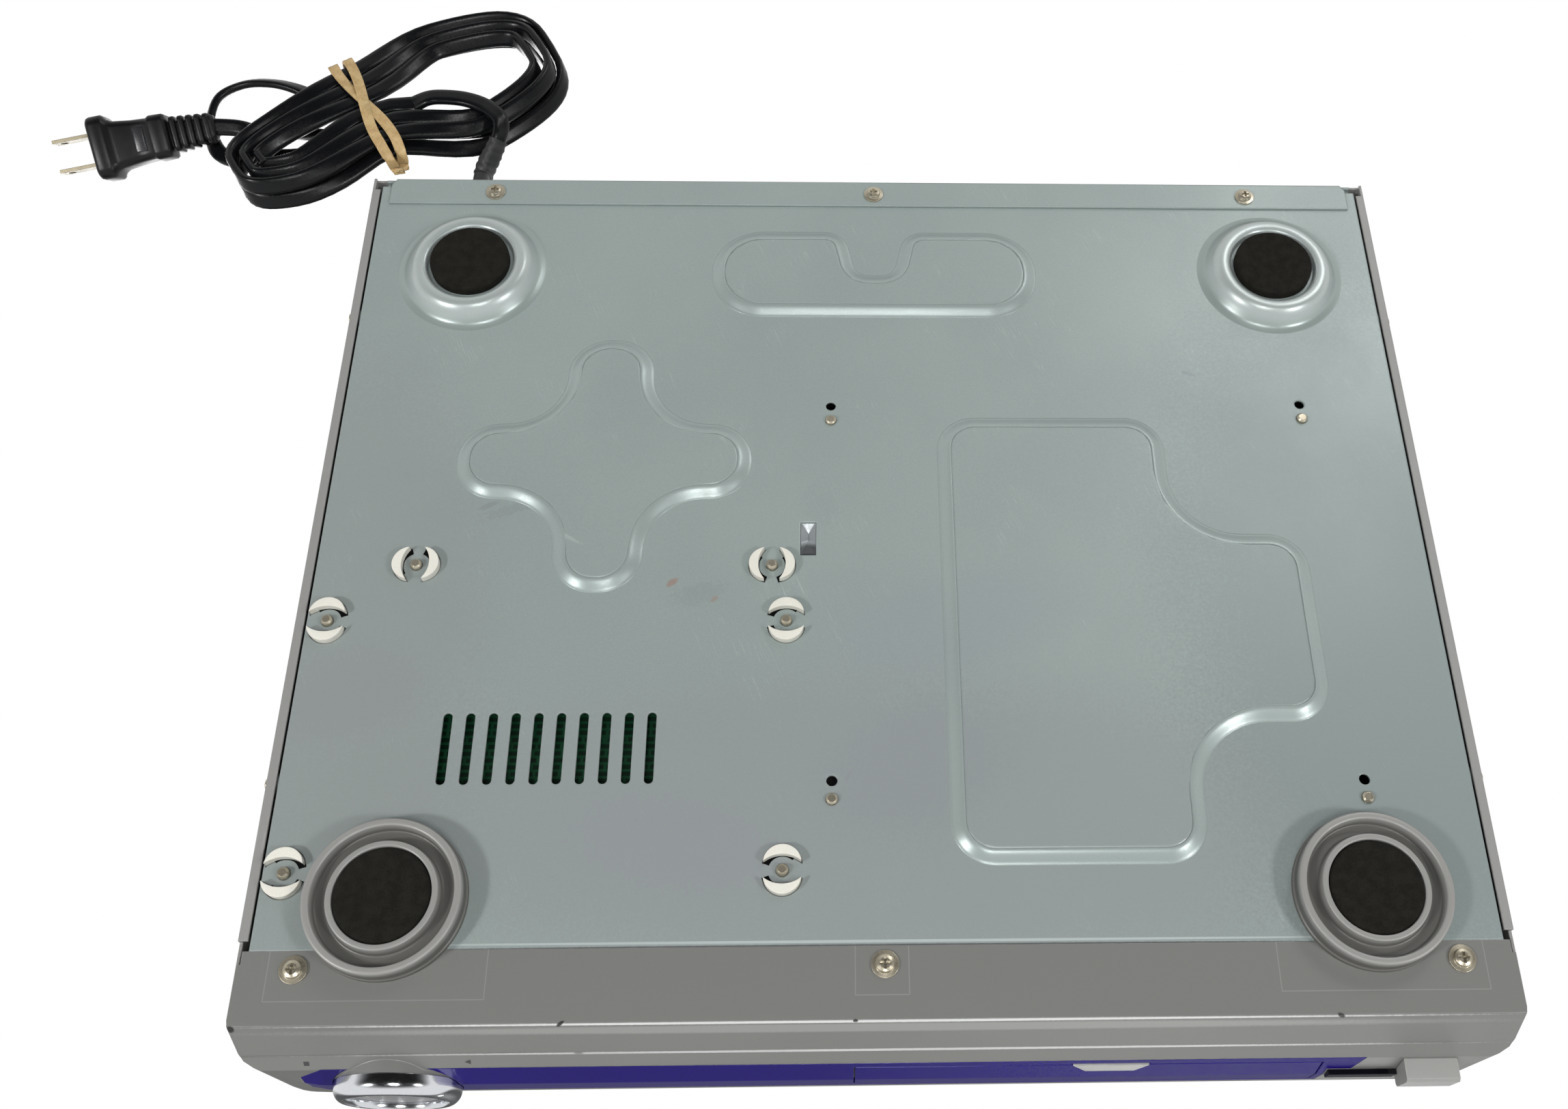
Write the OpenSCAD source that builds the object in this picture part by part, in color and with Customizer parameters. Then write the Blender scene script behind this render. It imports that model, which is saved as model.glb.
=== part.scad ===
/* [Housing] */
// Width over the two cover sides
cover_w = 431.6; // [400:0.2:460]
// Height from the underside of the bottom plate to the top of the cover
body_h = 60; // [58:0.5:75]
// Depth of the bottom plate behind its seam with the bezel
plate_d = 328; // [310:1:370]
// Thickness of the folded steel sheet
sheet_t = 1; // [0.8:0.1:1.2]
// Width of the flange that the cover folds under each side
flange_w = 3.2; // [2.5:0.1:5]
// Open gap between the cover flange and the bottom plate
flange_gap = 1; // [0.6:0.1:2]
// Height of the upturned side lips of the bottom plate
lip_h = 10; // [6:0.5:11]
// How far the cover side walls reach over the bezel, in front of the seam
cover_lap = 4; // [2:0.5:8]
// Depth of the rear panel flange under the bottom plate
rear_flange_d = 13; // [11:0.5:18]
// Height of the stamped panels that stand out of the bottom plate
emboss_h = 2.2; // [1.4:0.1:2.6]
// Width in plan of the sloped wall round a stamped panel
emboss_slope = 4.6; // [3:0.1:6]

/* [Fascia] */
// How far each end of the bezel lies inside the cover side
bezel_step = 0.8; // [0.4:0.1:3]
// Depth of the bezel underside in front of the seam
bezel_shelf = 24.3; // [20:0.1:28]
// Wall thickness of the bezel moulding
bezel_wall = 3.6; // [3.2:0.1:4]
// Depth to the second edge of the bezel, in front of the seam
edge_two_y = 31.5; // [29:0.1:33]
// Height of the second edge of the bezel
edge_two_z = 11.5; // [9:0.1:13]
// Greatest depth of the fascia in front of the seam
fascia_y = 38.5; // [36:0.1:42]
// Height of the lower edge of the tinted band
band_z = 17.5; // [16:0.1:19]
// Height of the tinted band
band_h = 26; // [24:0.5:30]
// Thickness of the tinted band
band_t = 2; // [1.5:0.1:2.2]
// Left end of the tinted band, seen from the front
band_left = -164; // [-168:1:-158]
// Right end of the tinted band, seen from the front
band_right = 196; // [190:1:200]
// Place across the fascia of the control ring
control_x = 166; // [150:1:172]
// Outer radius of the chrome control ring
control_r = 21.3; // [18:0.1:21.8]
// Width of the chrome face of the control ring
control_rim = 4.4; // [3:0.1:6]
// How far the control ring stands out in front of the fascia
control_out = 5.5; // [3:0.1:7]
// Place across the fascia of the power button
power_x = -186.5; // [-190:0.5:-182]
// Width of the power button
power_w = 18.4; // [12:0.1:20]
// Height of the power button
power_h = 12; // [8:0.1:14]
// How far the power button stands out in front of the fascia
power_out = 4.8; // [3:0.1:5.4]
// Width of the open and close button at its foot
eject_w = 26; // [18:0.5:34]
// Height of the open and close button
eject_h = 4.6; // [3:0.1:5]
// Travel of the push buttons
press_travel = 1.2; // [0.5:0.1:1.5]

/* [Feet] */
// Height of the feet under the bottom plate
foot_h = 8.5; // [7:0.1:12]
// Outer radius of the ring-shaped front feet
front_foot_r = 26.6; // [22:0.1:28]
// Outer radius of the stamped rear feet
rear_foot_r = 29.5; // [26:0.1:32]
// Radius of the dark pads in all four feet
pad_r = 16.3; // [12:0.1:18]
// Distance of all four feet from the sides of the bottom plate
foot_in = 43.4; // [38:0.1:60]
// Centre of the front feet behind the seam
front_foot_y = 16.6; // [10:0.1:24]
// Distance of the rear feet from the rear edge of the bottom plate
rear_foot_in = 45; // [42:0.5:85]

/* [Disc loader] */
// Centre of the loader across the player, seen from the front
loader_x = -77; // [-84:0.5:-72]
// Distance from the seam back to the spindle
spindle_y = 35; // [34:0.5:37]
// Diameter of the disc pocket in the tray
disc_pocket_d = 121.2; // [120.6:0.1:122]
// Width of the disc tray
tray_w = 131; // [128:0.5:134]
// Thickness of the disc tray
tray_t = 4; // [3.2:0.1:4.4]
// Height of the underside of the disc tray
tray_z = 30; // [29.5:0.1:31]
// Running gap between the tray and its guides
tray_gap = 0.3; // [0.2:0.05:0.4]
// Module of the loading gears
gear_m = 1; // [1:0.05:1.1]
// Number of teeth on the gear that drives the tray rack
tray_teeth = 24; // [22:1:25]
// Number of teeth on the pinion of the loading pulley
pinion_teeth = 10; // [10:1:12]
// Radius of the turntable
turntable_r = 15; // [13:0.1:16]
// Length of the pickup sled
sled_l = 40; // [34:0.5:42]

/* [Boards] */
// Height of the board supports above the plate
support_h = 10; // [6:0.5:14]
// Thickness of the printed circuit boards
board_t = 1.6; // [1.2:0.1:2]
// Number of air slots under the power section
vent_count = 10; // [6:1:12]
// Distance between air slots
vent_pitch = 8.1; // [6:0.1:8.6]
// Width of one air slot
vent_w = 3.3; // [2:0.1:4]
// Length of one air slot
vent_l = 27; // [16:0.5:30]

/* [Cord] */
// Width of the flat twin cord
cord_w = 7.3; // [6:0.1:8]
// Thickness of the flat twin cord
cord_t = 3.7; // [3:0.1:3.9]
// Step from one standing loop of the hank to the next
hank_pitch = 4.6; // [4.5:0.1:4.9]

/* [Hidden] */
$fn = 48;
// A cut reaches this far past the face that it opens
cut = 1;
// Small clearance between pieces that lie side by side
slip = 0.3;

// Colours
plate_grey = "#929c9d";
cover_grey = "#a5a3a1";
bezel_grey = "#9a9a98";
chrome = "#c9cbcd";
nickel = "#b9b09c";
tint = "#2a1c86";
dark = "#2b2a28";
off_white = "#d7d4c8";
board_green = "#2f6b46";

// Main levels and lines, measured from the seam and the underside of the bottom plate
plate_w = cover_w - 2*(flange_w + flange_gap);
bezel_w = cover_w - 2*bezel_step;
edge_x = plate_w/2;
foot_x = edge_x - foot_in;
rear_foot_y = plate_d - rear_foot_in;
panel_y = plate_d + 2.2;
panel_out = panel_y + sheet_t;
cover_back = panel_out + 1;
jack_reach = 8.8;
front_reach = fascia_y + control_out;
rear_reach = panel_out + jack_reach;
seam_y = (front_reach - rear_reach)/2;
inner_top = body_h - sheet_t;

// Puts a piece drawn from the seam and the plate's underside in its place over the floor
module at_plate() translate([0, seam_y, foot_h]) children();

// Rounded outlines

function unit(v) = v/norm(v);
function left_of(v) = [-v[1], v[0]];
function cross2(a, b) = a[0]*b[1] - a[1]*b[0];
// Corner i of a counter-clockwise outline of [x, y, radius], moved inwards by d
function inset_corner(c, i, d) = let(
    n = len(c),
    p = [c[i][0], c[i][1]],
    a = [c[(i + n - 1) % n][0], c[(i + n - 1) % n][1]],
    b = [c[(i + 1) % n][0], c[(i + 1) % n][1]],
    u = unit(p - a),
    v = unit(b - p),
    turn = cross2(u, v) > 0 ? 1 : -1,
    m = left_of(u) + left_of(v),
    q = p + d*m/(1 + left_of(u)*left_of(v)))
    [q[0], q[1], max(c[i][2] - turn*d, 0.5)];
function inset(c, d) = [for (i = [0 : len(c) - 1]) inset_corner(c, i, d)];
// Points of the arc at corner i, on steps + 1 points
function corner_arc(c, i, steps) = let(
    n = len(c),
    p = [c[i][0], c[i][1]],
    u = unit(p - [c[(i + n - 1) % n][0], c[(i + n - 1) % n][1]]),
    v = unit([c[(i + 1) % n][0], c[(i + 1) % n][1]] - p),
    turn = cross2(u, v) > 0 ? 1 : -1,
    r = c[i][2],
    bend = acos(u*v),
    reach = r*tan(bend/2),
    centre = p - reach*u + turn*r*left_of(u))
    [for (k = [0 : steps]) let(a = turn*bend*k/steps)
        centre - turn*r*(left_of(u)*cos(a) - u*sin(a))];
function rounded(c, steps = 4) = [for (i = [0 : len(c) - 1]) each corner_arc(c, i, steps)];

// Faces of an end of n points: one fan from a hub, or two fans whose first takes the points from
// cuts[0] to cuts[1], with what lies between them; points from n up are the hubs
function end_faces(n, hubs, cuts) = len(hubs) == 1
    ? [for (i = [0 : n - 1]) [i, (i + 1) % n, n]]
    : concat(
        [for (k = [cuts[0] : cuts[1] - 1]) [k, k + 1, n]],
        [for (k = [cuts[1] + 1 : n + cuts[0] - 2]) [k % n, (k + 1) % n, n + 1]],
        [[cuts[0] - 1, cuts[0], n], [cuts[0] - 1, n, n + 1]],
        [[cuts[1], cuts[1] + 1, n + 1], [cuts[1], n + 1, n]]);
// A loft through outlines of equal length, given as [outline, height] from the bottom up, whose two
// ends fan out from their hubs
module loft(levels, hubs, cuts) {
    n = len(levels[0][0]);
    m = len(levels);
    rings = [for (l = levels) for (p = l[0]) [p[0], p[1], l[1]]];
    sides = [for (k = [0 : m - 2]) for (i = [0 : n - 1]) let(j = (i + 1) % n)
        each [[k*n + i, (k + 1)*n + i, k*n + j], [k*n + j, (k + 1)*n + i, (k + 1)*n + j]]];
    low = [for (f = end_faces(n, hubs, cuts)) [for (i = f) i < n ? i : m*n + i - n]];
    high = [for (f = end_faces(n, hubs, cuts)) [for (k = [2 : -1 : 0])
        f[k] < n ? (m - 1)*n + f[k] : m*n + len(hubs) + f[k] - n]];
    centres = [for (z = [levels[0][1], levels[m - 1][1]]) for (h = hubs) [h[0], h[1], z]];
    polyhedron(concat(rings, centres), concat(sides, low, high), convexity = 6);
}

// Stamped panels of the bottom plate, as corners of [x, y, radius]
pill_panel = [
    [-67, 261, 20], [67, 261, 20], [67, 303, 20], [14, 303, 9],
    [9, 280, 8], [-9, 280, 8], [-14, 303, 9], [-67, 303, 20]
];
cross_x = 107;
cross_y = 190;
cross_reach = 56.2;
cross_half = 15.8;
cross_panel = [for (i = [0 : 3]) let(a = 90*i) each [
    [cross_x + cross_reach*cos(a) + cross_half*sin(a), cross_y + cross_reach*sin(a) - cross_half*cos(a), 15],
    [cross_x + cross_reach*cos(a) - cross_half*sin(a), cross_y + cross_reach*sin(a) + cross_half*cos(a), 15],
    [cross_x + cross_half*(cos(a) - sin(a)), cross_y + cross_half*(sin(a) + cos(a)), 24]
]];
loader_panel = [
    [-113, 28.5, 14], [-25, 28.5, 14], [-25, 209, 14], [-113, 209, 14],
    [-113, 156, 28], [-164, 156, 14], [-164, 81, 14], [-113, 81, 28]
];
// Each panel with the hubs of its ends
panels = [
    [pill_panel, [[40, 269], [-40, 269]], [5, 24]], [cross_panel, [[cross_x, cross_y]]],
    [loader_panel, [[-90, 118]]]
];

module panel_skin(c) loft([
    [rounded(inset(c[0], emboss_slope)), -emboss_h],
    [rounded(c[0]), 0],
    [rounded(c[0]), sheet_t/2]
], c[1], c[2]);
module panel_hollow(c) loft([
    [rounded(inset(c[0], emboss_slope + sheet_t/2)), sheet_t - emboss_h],
    [rounded(inset(c[0], sheet_t/2)), sheet_t],
    [rounded(inset(c[0], sheet_t/2)), sheet_t + cut]
], c[1], c[2]);

// Supports of the main board as [x, y, angle of the pair of crescents]
supports = [
    [edge_x - 37.3, 144.1, 0], [40.6, 143.8, 0], [edge_x - 7.6, 120.9, 90],
    [34.9, 120.6, 90], [edge_x - 7.3, 26.1, 90], [34.9, 25.9, 90]
];
// Posts of the disc loader and the tooling holes beside them
posts = [[18.4, 208.9], [-171.9, 210.2], [17.9, 51.3], [-172.9, 50.7]];
tool_hole_r = 2;
tool_hole_step = 6.9;
stud_r = 2.1;
fit = 0.1;
vent_x = 119.1;
vent_y = 71;
lance_x = 27;
lance_y = 156;
lance_w = 6;
lance_l = 15.4;

// One of two lens-shaped feet, flat in plan, with an even clearance all round
module crescent(grow = 0) difference() {
    translate([2.04, 0]) circle(r = 6.66 + grow);
    translate([-5.4, 0]) circle(r = 10.6 - grow);
}
module crescent_pair(grow = 0) {
    crescent(grow);
    mirror([1, 0]) crescent(grow);
}
module slot(l, w) {
    square([w, l - w], center = true);
    for (s = [-1, 1]) translate([0, s*(l - w)/2]) circle(d = w);
}

// Rear foot, drawn out of the bottom plate as a ring with a well for its pad
rear_crest = foot_h - 1.7;
well_floor = foot_h - 4.2;
well_r = pad_r + 1.2;
module rear_foot_dish() rotate_extrude($fn = 60) polygon([
    [0, -well_floor], [well_r, -well_floor], [well_r + 0.6, -rear_crest + 0.8],
    [well_r + 1.6, -rear_crest], [well_r + 4.4, -rear_crest], [rear_foot_r - 3.2, -1.6],
    [rear_foot_r, 0], [rear_foot_r, sheet_t], [rear_foot_r - 0.6, sheet_t],
    [rear_foot_r - 4, sheet_t - 1.7], [well_r + 4, sheet_t - rear_crest],
    [well_r + 1.6, sheet_t - rear_crest + 0.2], [well_r + 1, sheet_t - well_floor],
    [0, sheet_t - well_floor]
]);

// Air slots, holes of the board supports, posts, feet and screws, and the lanced slot
module plate_holes() {
    for (i = [0 : vent_count - 1])
        translate([vent_x + vent_pitch*(i - (vent_count - 1)/2), vent_y]) slot(vent_l, vent_w);
    for (s = supports) translate([s[0], s[1]]) {
        rotate(s[2]) crescent_pair(0.25);
        circle(r = stud_r + fit);
    }
    for (p = posts) translate(p) {
        circle(r = stud_r + fit/2);
        translate([0, tool_hole_step]) circle(r = tool_hole_r);
    }
    for (s = [-1, 1]) translate([s*foot_x, front_foot_y]) circle(r = foot_peg_r + fit);
    for (x = rear_screw_x) translate([x, rear_screw_y]) circle(r = screw_r + fit);
    translate([lance_x, lance_y - sheet_t/2])
        square([lance_w, lance_l - sheet_t], center = true);
}
module bottom_plate() color(plate_grey) at_plate() difference() {
    union() {
        difference() {
            union() {
                translate([-plate_w/2, 0, 0]) cube([plate_w, plate_d, sheet_t]);
                for (c = panels) panel_skin(c);
            }
            for (c = panels) panel_hollow(c);
            for (s = [-1, 1]) translate([s*foot_x, rear_foot_y, -cut])
                cylinder(r = rear_foot_r - 0.5, h = sheet_t + 2*cut);
        }
        for (s = [-1, 1]) {
            translate([s*foot_x, rear_foot_y, 0]) rear_foot_dish();
            translate([s*(plate_w - sheet_t)/2 - sheet_t/2, 3, 0])
                cube([sheet_t, plate_d - 6, lip_h]);
            for (y = cover_side_y) translate([s*(plate_w/2 - sheet_t), y, cover_side_z])
                rotate([0, 90*s, 0]) cylinder(r = side_boss_r, h = side_boss_l);
        }
        // Tabs that reach in over the bezel's underside
        for (x = bezel_screw_x) {
            translate([x - tab_w/2, 0, 0]) cube([tab_w, sheet_t, tab_z + sheet_t]);
            translate([x - tab_w/2, -tab_l, tab_z]) cube([tab_w, tab_l + sheet_t, sheet_t]);
        }
        translate([lance_x - lance_w/2, lance_y + lance_l/2 - sheet_t, 0])
            cube([lance_w, sheet_t, 7]);
    }
    translate([0, 0, -cut]) linear_extrude(sheet_t + 2*cut) plate_holes($fn = 20);
    for (x = bezel_screw_x) translate([x, bezel_screw_y, 0]) cylinder(r = screw_r + fit, h = lip_h);
    for (s = [-1, 1]) for (y = cover_side_y) translate([s*(plate_w/2 - 4), y, cover_side_z])
        rotate([0, 90*s, 0]) cylinder(r = screw_r + fit, h = 12);
}

// Screws

screw_r = 1.5;
washer_head_r = 4.7;
rear_head_r = 4.1;
rear_screw_x = [-162.4, 0, 162.8];
rear_screw_y = panel_out - 7;
bezel_screw_x = [15.7 - edge_x, 0, edge_x - 15.7];
bezel_screw_y = -6.3;
cover_side_y = [60, 262];
cover_side_z = 6;
side_boss_r = 4;
side_boss_l = flange_w + flange_gap - fit;
tab_w = 18;
tab_l = 11;
tab_z = bezel_wall + fit;
cover_rear_x = [-150, 0, 150];
cover_rear_z = body_h - 6;

// A washer-head screw with its shank along +Z and a cross recess in the domed head
module washer_screw(head_r, shank_l) {
    cylinder(r = screw_r, h = shank_l);
    difference() {
        rotate_extrude() polygon([
            [0, 0], [head_r, 0], [head_r, -0.7], [head_r*0.7, -0.9],
            [head_r*0.62, -1.9], [head_r*0.4, -2.3], [0, -2.4]
        ]);
        for (a = [0, 90]) rotate(a) translate([-head_r*0.4, -0.5, -2.4 - cut])
            cube([head_r*0.8, 1, 1.2 + cut]);
    }
}
module bezel_screws() color(nickel) at_plate()
    for (x = bezel_screw_x) translate([x, bezel_screw_y, 0]) washer_screw(washer_head_r, 8);
module rear_screws() color(nickel) at_plate()
    for (x = rear_screw_x) translate([x, rear_screw_y, -sheet_t]) washer_screw(rear_head_r, 6);
module cover_screws() color(nickel) at_plate() {
    for (s = [-1, 1]) for (y = cover_side_y)
        translate([s*cover_w/2, y, cover_side_z]) rotate([0, -90*s, 0]) washer_screw(3.6, 7);
    for (x = cover_rear_x)
        translate([x, cover_back, cover_rear_z]) rotate([90, 0, 0]) washer_screw(3.6, 6);
}

// Rear panel, with a flange folded forwards under the bottom plate

jack_x = [-112, -97, -82, -67, -52];
jack_z = [18, 36];
jack_r = 4.15;
round_jack_x = -30;
optical_x = -8;
gland_x = 172;
gland_z = 8.4;
gland_w = 9;
gland_h = 11;
gland_out = 8;
flange_end = edge_x - 4;
fold_end = edge_x - 6;
module rear_panel() color(plate_grey) at_plate() difference() {
    union() {
        translate([-plate_w/2 + 1.4, panel_y, 0]) cube([plate_w - 2.8, sheet_t, inner_top - slip]);
        translate([0, 0, -sheet_t]) linear_extrude(sheet_t) polygon([
            [-flange_end, panel_out - rear_flange_d], [flange_end, panel_out - rear_flange_d],
            [flange_end, panel_out - 3], [fold_end, panel_out], [-fold_end, panel_out],
            [-flange_end, panel_out - 3]
        ]);
        translate([-fold_end, panel_y, -sheet_t]) cube([2*fold_end, sheet_t, 2*sheet_t]);
        for (s = [-1, 1]) translate([s*(plate_w/2 - 2.6) - 1, panel_y - 9, 2]) difference() {
            cube([2, 10, inner_top - 4]);
            translate([s > 0 ? -1 : 1, -cut, -cut]) cube([2, 10, inner_top]);
        }
    }
    for (x = jack_x) for (z = jack_z) translate([x, panel_y - cut, z]) rotate([-90, 0, 0])
        cylinder(r = jack_r + 0.35, h = sheet_t + 2*cut);
    translate([round_jack_x, panel_y - cut, jack_z[1]]) rotate([-90, 0, 0])
        cylinder(r = 5.2, h = sheet_t + 2*cut);
    translate([optical_x - 5.3, panel_y - cut, jack_z[1] - 5.3]) cube([10.6, sheet_t + 2*cut, 10.6]);
    translate([gland_x - gland_w/2, panel_y - cut, gland_z - gland_h/2])
        cube([gland_w, sheet_t + 2*cut, gland_h]);
    for (x = rear_screw_x) translate([x, rear_screw_y, -sheet_t - cut])
        cylinder(r = screw_r + fit, h = sheet_t + 2*cut);
    for (x = cover_rear_x) translate([x, panel_y - cut, cover_rear_z]) rotate([-90, 0, 0])
        cylinder(r = screw_r + fit, h = sheet_t + 2*cut);
}

// Top cover: a folded channel with side flanges under it and a lip behind it

module top_cover() color(cover_grey) at_plate() difference() {
    union() {
        translate([-cover_w/2, -cover_lap, inner_top]) cube([cover_w, cover_back + cover_lap, sheet_t]);
        for (s = [-1, 1]) {
            translate([s*(cover_w - sheet_t)/2 - sheet_t/2, -cover_lap, 0])
                cube([sheet_t, cover_back + cover_lap, body_h]);
            translate([s*(cover_w - flange_w)/2 - flange_w/2, 3.4, 0])
                cube([flange_w, plate_d - 5, sheet_t]);
            translate([s*(cover_w/2 - 5) - 5, cover_back - 0.8, 1.4])
                cube([10, 0.8, body_h - 1.4]);
        }
        translate([-cover_w/2, cover_back - 0.8, body_h - 11]) cube([cover_w, 0.8, 11]);
    }
    for (s = [-1, 1]) {
        translate([s*cover_w/2 - 2, -cover_lap - cut, -cut]) cube([4, 7.4 + cut, 1 + sheet_t + cut]);
        for (y = cover_side_y) translate([s*cover_w/2 - 3, y, cover_side_z]) rotate([0, 90, 0])
            cylinder(r = screw_r + fit, h = 6);
    }
    for (x = cover_rear_x) translate([x, cover_back - 2, cover_rear_z]) rotate([-90, 0, 0])
        cylinder(r = screw_r + fit, h = 4);
}

// Fascia: one section swept across, trimmed by a plan with rounded front corners

fascia_section = [
    [0, 0], [-bezel_shelf, 0], [-bezel_shelf - 0.6, 0.8], [-edge_two_y, edge_two_z],
    [-edge_two_y - 0.5, edge_two_z + 1.2], [-fascia_y + 3, band_z], [-fascia_y, band_z + 14],
    [-fascia_y, body_h - 14], [-fascia_y + 1.6, body_h - 6], [-fascia_y + 4.6, body_h - 1.4],
    [-fascia_y + 7, body_h], [0, body_h]
];
corner_run = 29;
corner_rise = fascia_y - edge_two_y + 0.5;
fascia_plan = let(x = bezel_w/2, y = fascia_y - corner_rise) concat(
    [[-x, 0], [-x, -bezel_shelf + 2], [-x + 1.6, -y]],
    [for (a = [15 : 15 : 75]) [-x + 1.6 + corner_run*(1 - cos(a)), -y - corner_rise*sin(a)]],
    [[-x + 1.6 + corner_run, -fascia_y], [x - 1.6 - corner_run, -fascia_y]],
    [for (a = [75 : -15 : 15]) [x - 1.6 - corner_run*(1 - cos(a)), -y - corner_rise*sin(a)]],
    [[x - 1.6, -y], [x, -bezel_shelf + 2], [x, 0]]);

// Where the back of a form drawn in by d lies, so that it stays open at the seam
function open_by(d) = d + (d > 0 ? cut : 0);
// The fascia's outer form, drawn in by d on its front, sides, top and underside
module fascia_form(d) intersection() {
    translate([-bezel_w/2 - 1, 0, 0]) rotate([90, 0, 90]) linear_extrude(bezel_w + 2)
        offset(delta = -d) polygon([for (p = fascia_section) p[0] == 0 ? [open_by(d), p[1]] : p]);
    linear_extrude(body_h) offset(delta = -d)
        polygon([for (p = fascia_plan) p[1] == 0 ? [p[0], open_by(d)] : p]);
}
// What lies behind an outline seen from the front
module front_view() rotate([90, 0, 0]) linear_extrude(fascia_y + 20) children();

ring_seat = 1.45;
boss_x = [-150, -20, 110, 195];
boss_z = 13;
boss_l = 7.4;
board_y = -22;
band_mid = band_z + band_h/2;
control_z = band_mid + 4;
door_x0 = -149.6;
door_x1 = 10;
door_z = band_z + 3.6;
door_h = band_h - 6.4;
door_gap = 0.5;
opening_w = tray_w + 6;
opening_z = tray_z - 5;
opening_h = 13;
view_x = 24;
view_w = 94;
sensor_x = -165.2;
sensor_w = 24;
sensor_z = 27.6;
sensor_h = 6;
sensor_out = 1;
power_z = band_z + 1.6;
eject_z = band_z + 3;

// Outline of the tinted band: stepped round the remote sensor at its left end and the control
// ring at its right
module band_outline(grow = 0) offset(delta = grow) difference() {
    polygon([
        [band_left, band_z], [band_right - 8, band_z], [band_right, band_z + 6],
        [band_right, band_z + band_h - 6], [band_right - 8, band_z + band_h],
        [sensor_x + sensor_w/2 + 0.6, band_z + band_h], [sensor_x + sensor_w/2 + 0.6, sensor_z - 0.6],
        [band_left + 3, sensor_z - 0.6]
    ]);
    translate([control_x, control_z]) circle(r = control_r + slip - grow, $fn = 72);
}
module door_outline(grow = 0) offset(delta = grow) difference() {
    translate([door_x0, door_z]) square([door_x1 - door_x0, door_h]);
    eject_outline(door_gap);
}
module eject_outline(grow = 0) offset(delta = grow) translate([loader_x, eject_z - 0.2]) polygon([
    [-eject_w/2, 0], [eject_w/2, 0], [eject_w/2 - eject_h, eject_h + 0.2], [-eject_w/2 + eject_h, eject_h + 0.2]
]);

module front_bezel() color(bezel_grey) at_plate() difference() {
    union() {
        difference() {
            fascia_form(0);
            fascia_form(bezel_wall);
            // Seat of the tinted band
            intersection() {
                difference() {
                    fascia_form(-1);
                    fascia_form(band_t + 0.1);
                }
                front_view() band_outline(0.15);
            }
            // Deeper seat of the tray door
            intersection() {
                difference() {
                    fascia_form(-1);
                    fascia_form(band_t + 0.4);
                }
                front_view() door_outline(door_gap);
            }
            // Sides and top step in for the cover
            for (s = [-1, 1]) translate([s*(bezel_w/2 + 4) - 5.3, -cover_lap - slip, -cut])
                cube([10.6, cover_lap + slip + cut, body_h + 2*cut]);
            translate([-bezel_w/2 - cut, -cover_lap - slip, inner_top - slip])
                cube([bezel_w + 2*cut, cover_lap + slip + cut, 3]);
        }
        // Seat of the control ring
        translate([control_x, ring_seat - fascia_y, control_z]) rotate([-90, 0, 0])
            cylinder(r = control_r - 0.6, h = 7, $fn = 72);
        // Bosses that the front board rests on
        for (x = boss_x) translate([x, board_y - fit, boss_z]) rotate([90, 0, 0])
            cylinder(r = 3, h = boss_l, $fn = 24);
    }
    front_view() {
        translate([loader_x - opening_w/2, opening_z]) square([opening_w, opening_h]);
        offset(delta = 0.3) eject_outline(0.2);
        translate([view_x, door_z + 3]) square([view_w, door_h - 7]);
        translate([power_x - power_w/2 - slip, power_z - slip]) square([power_w + 2*slip, power_h + 2*slip]);
        translate([sensor_x - sensor_w/2, sensor_z]) square([sensor_w, sensor_h]);
    }
    translate([control_x, -fascia_y - cut, control_z]) rotate([-90, 0, 0]) {
        cylinder(r = control_r + 0.15, h = cut + ring_seat, $fn = 72);
        cylinder(r = control_r - control_rim + 0.4, h = 20, $fn = 72);
    }
    for (x = bezel_screw_x) translate([x, bezel_screw_y, -cut]) cylinder(r = screw_r + fit, h = 12);
}

module display_window() color(tint, 0.8) at_plate() difference() {
    intersection() {
        difference() {
            fascia_form(0);
            fascia_form(band_t);
        }
        front_view() band_outline();
    }
    front_view() {
        door_outline(door_gap);
        eject_outline(0.4);
    }
}

door_back = fascia_y - band_t;
module tray_door() color(tint, 0.9) at_plate() intersection() {
    difference() {
        fascia_form(0);
        fascia_form(band_t);
    }
    front_view() door_outline();
}

module sensor_window() color("#15141a") at_plate()
    translate([sensor_x - sensor_w/2 + 0.2, -fascia_y - sensor_out, sensor_z + 0.2])
        cube([sensor_w - 0.4, bezel_wall + sensor_out, sensor_h - 0.4]);

// Power button: a squared cap that stands out of the fascia on a guide stem
power_front = fascia_y + power_out;
switch_l = 3.6;
// Where the stems of the push buttons end, in front of their switches
stem_end = switch_l - board_y + press_travel + 0.15;
module power_button() color("#b4b3b0") at_plate() {
    translate([power_x, 0, power_z]) difference() {
        translate([-power_w/2, -power_front, 0]) cube([power_w, power_front - 28, power_h]);
        for (z = [0, power_h]) translate([-power_w, -power_front, z]) rotate([45, 0, 0])
            cube([4*power_w, 1.4, 1.4], center = true);
        translate([-power_w/2 + 1.6, -power_front + 2, 1.6])
            cube([power_w - 3.2, power_front, power_h - 3.2]);
    }
    translate([power_x - 2, -power_front + 1, power_z + power_h/2 - 2])
        cube([4, power_front - 1 - stem_end, 4]);
}

module open_close_button() color("#b4b3b0") at_plate() {
    intersection() {
        translate([0, -0.5, 0]) fascia_form(0);
        front_view() eject_outline();
        translate([-200, -fascia_y - 5, 0]) cube([200, 12, body_h]);
    }
    translate([loader_x - 4, -34, eject_z + 0.6]) cube([8, 34 - stem_end, eject_h - 1.4]);
}

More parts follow.
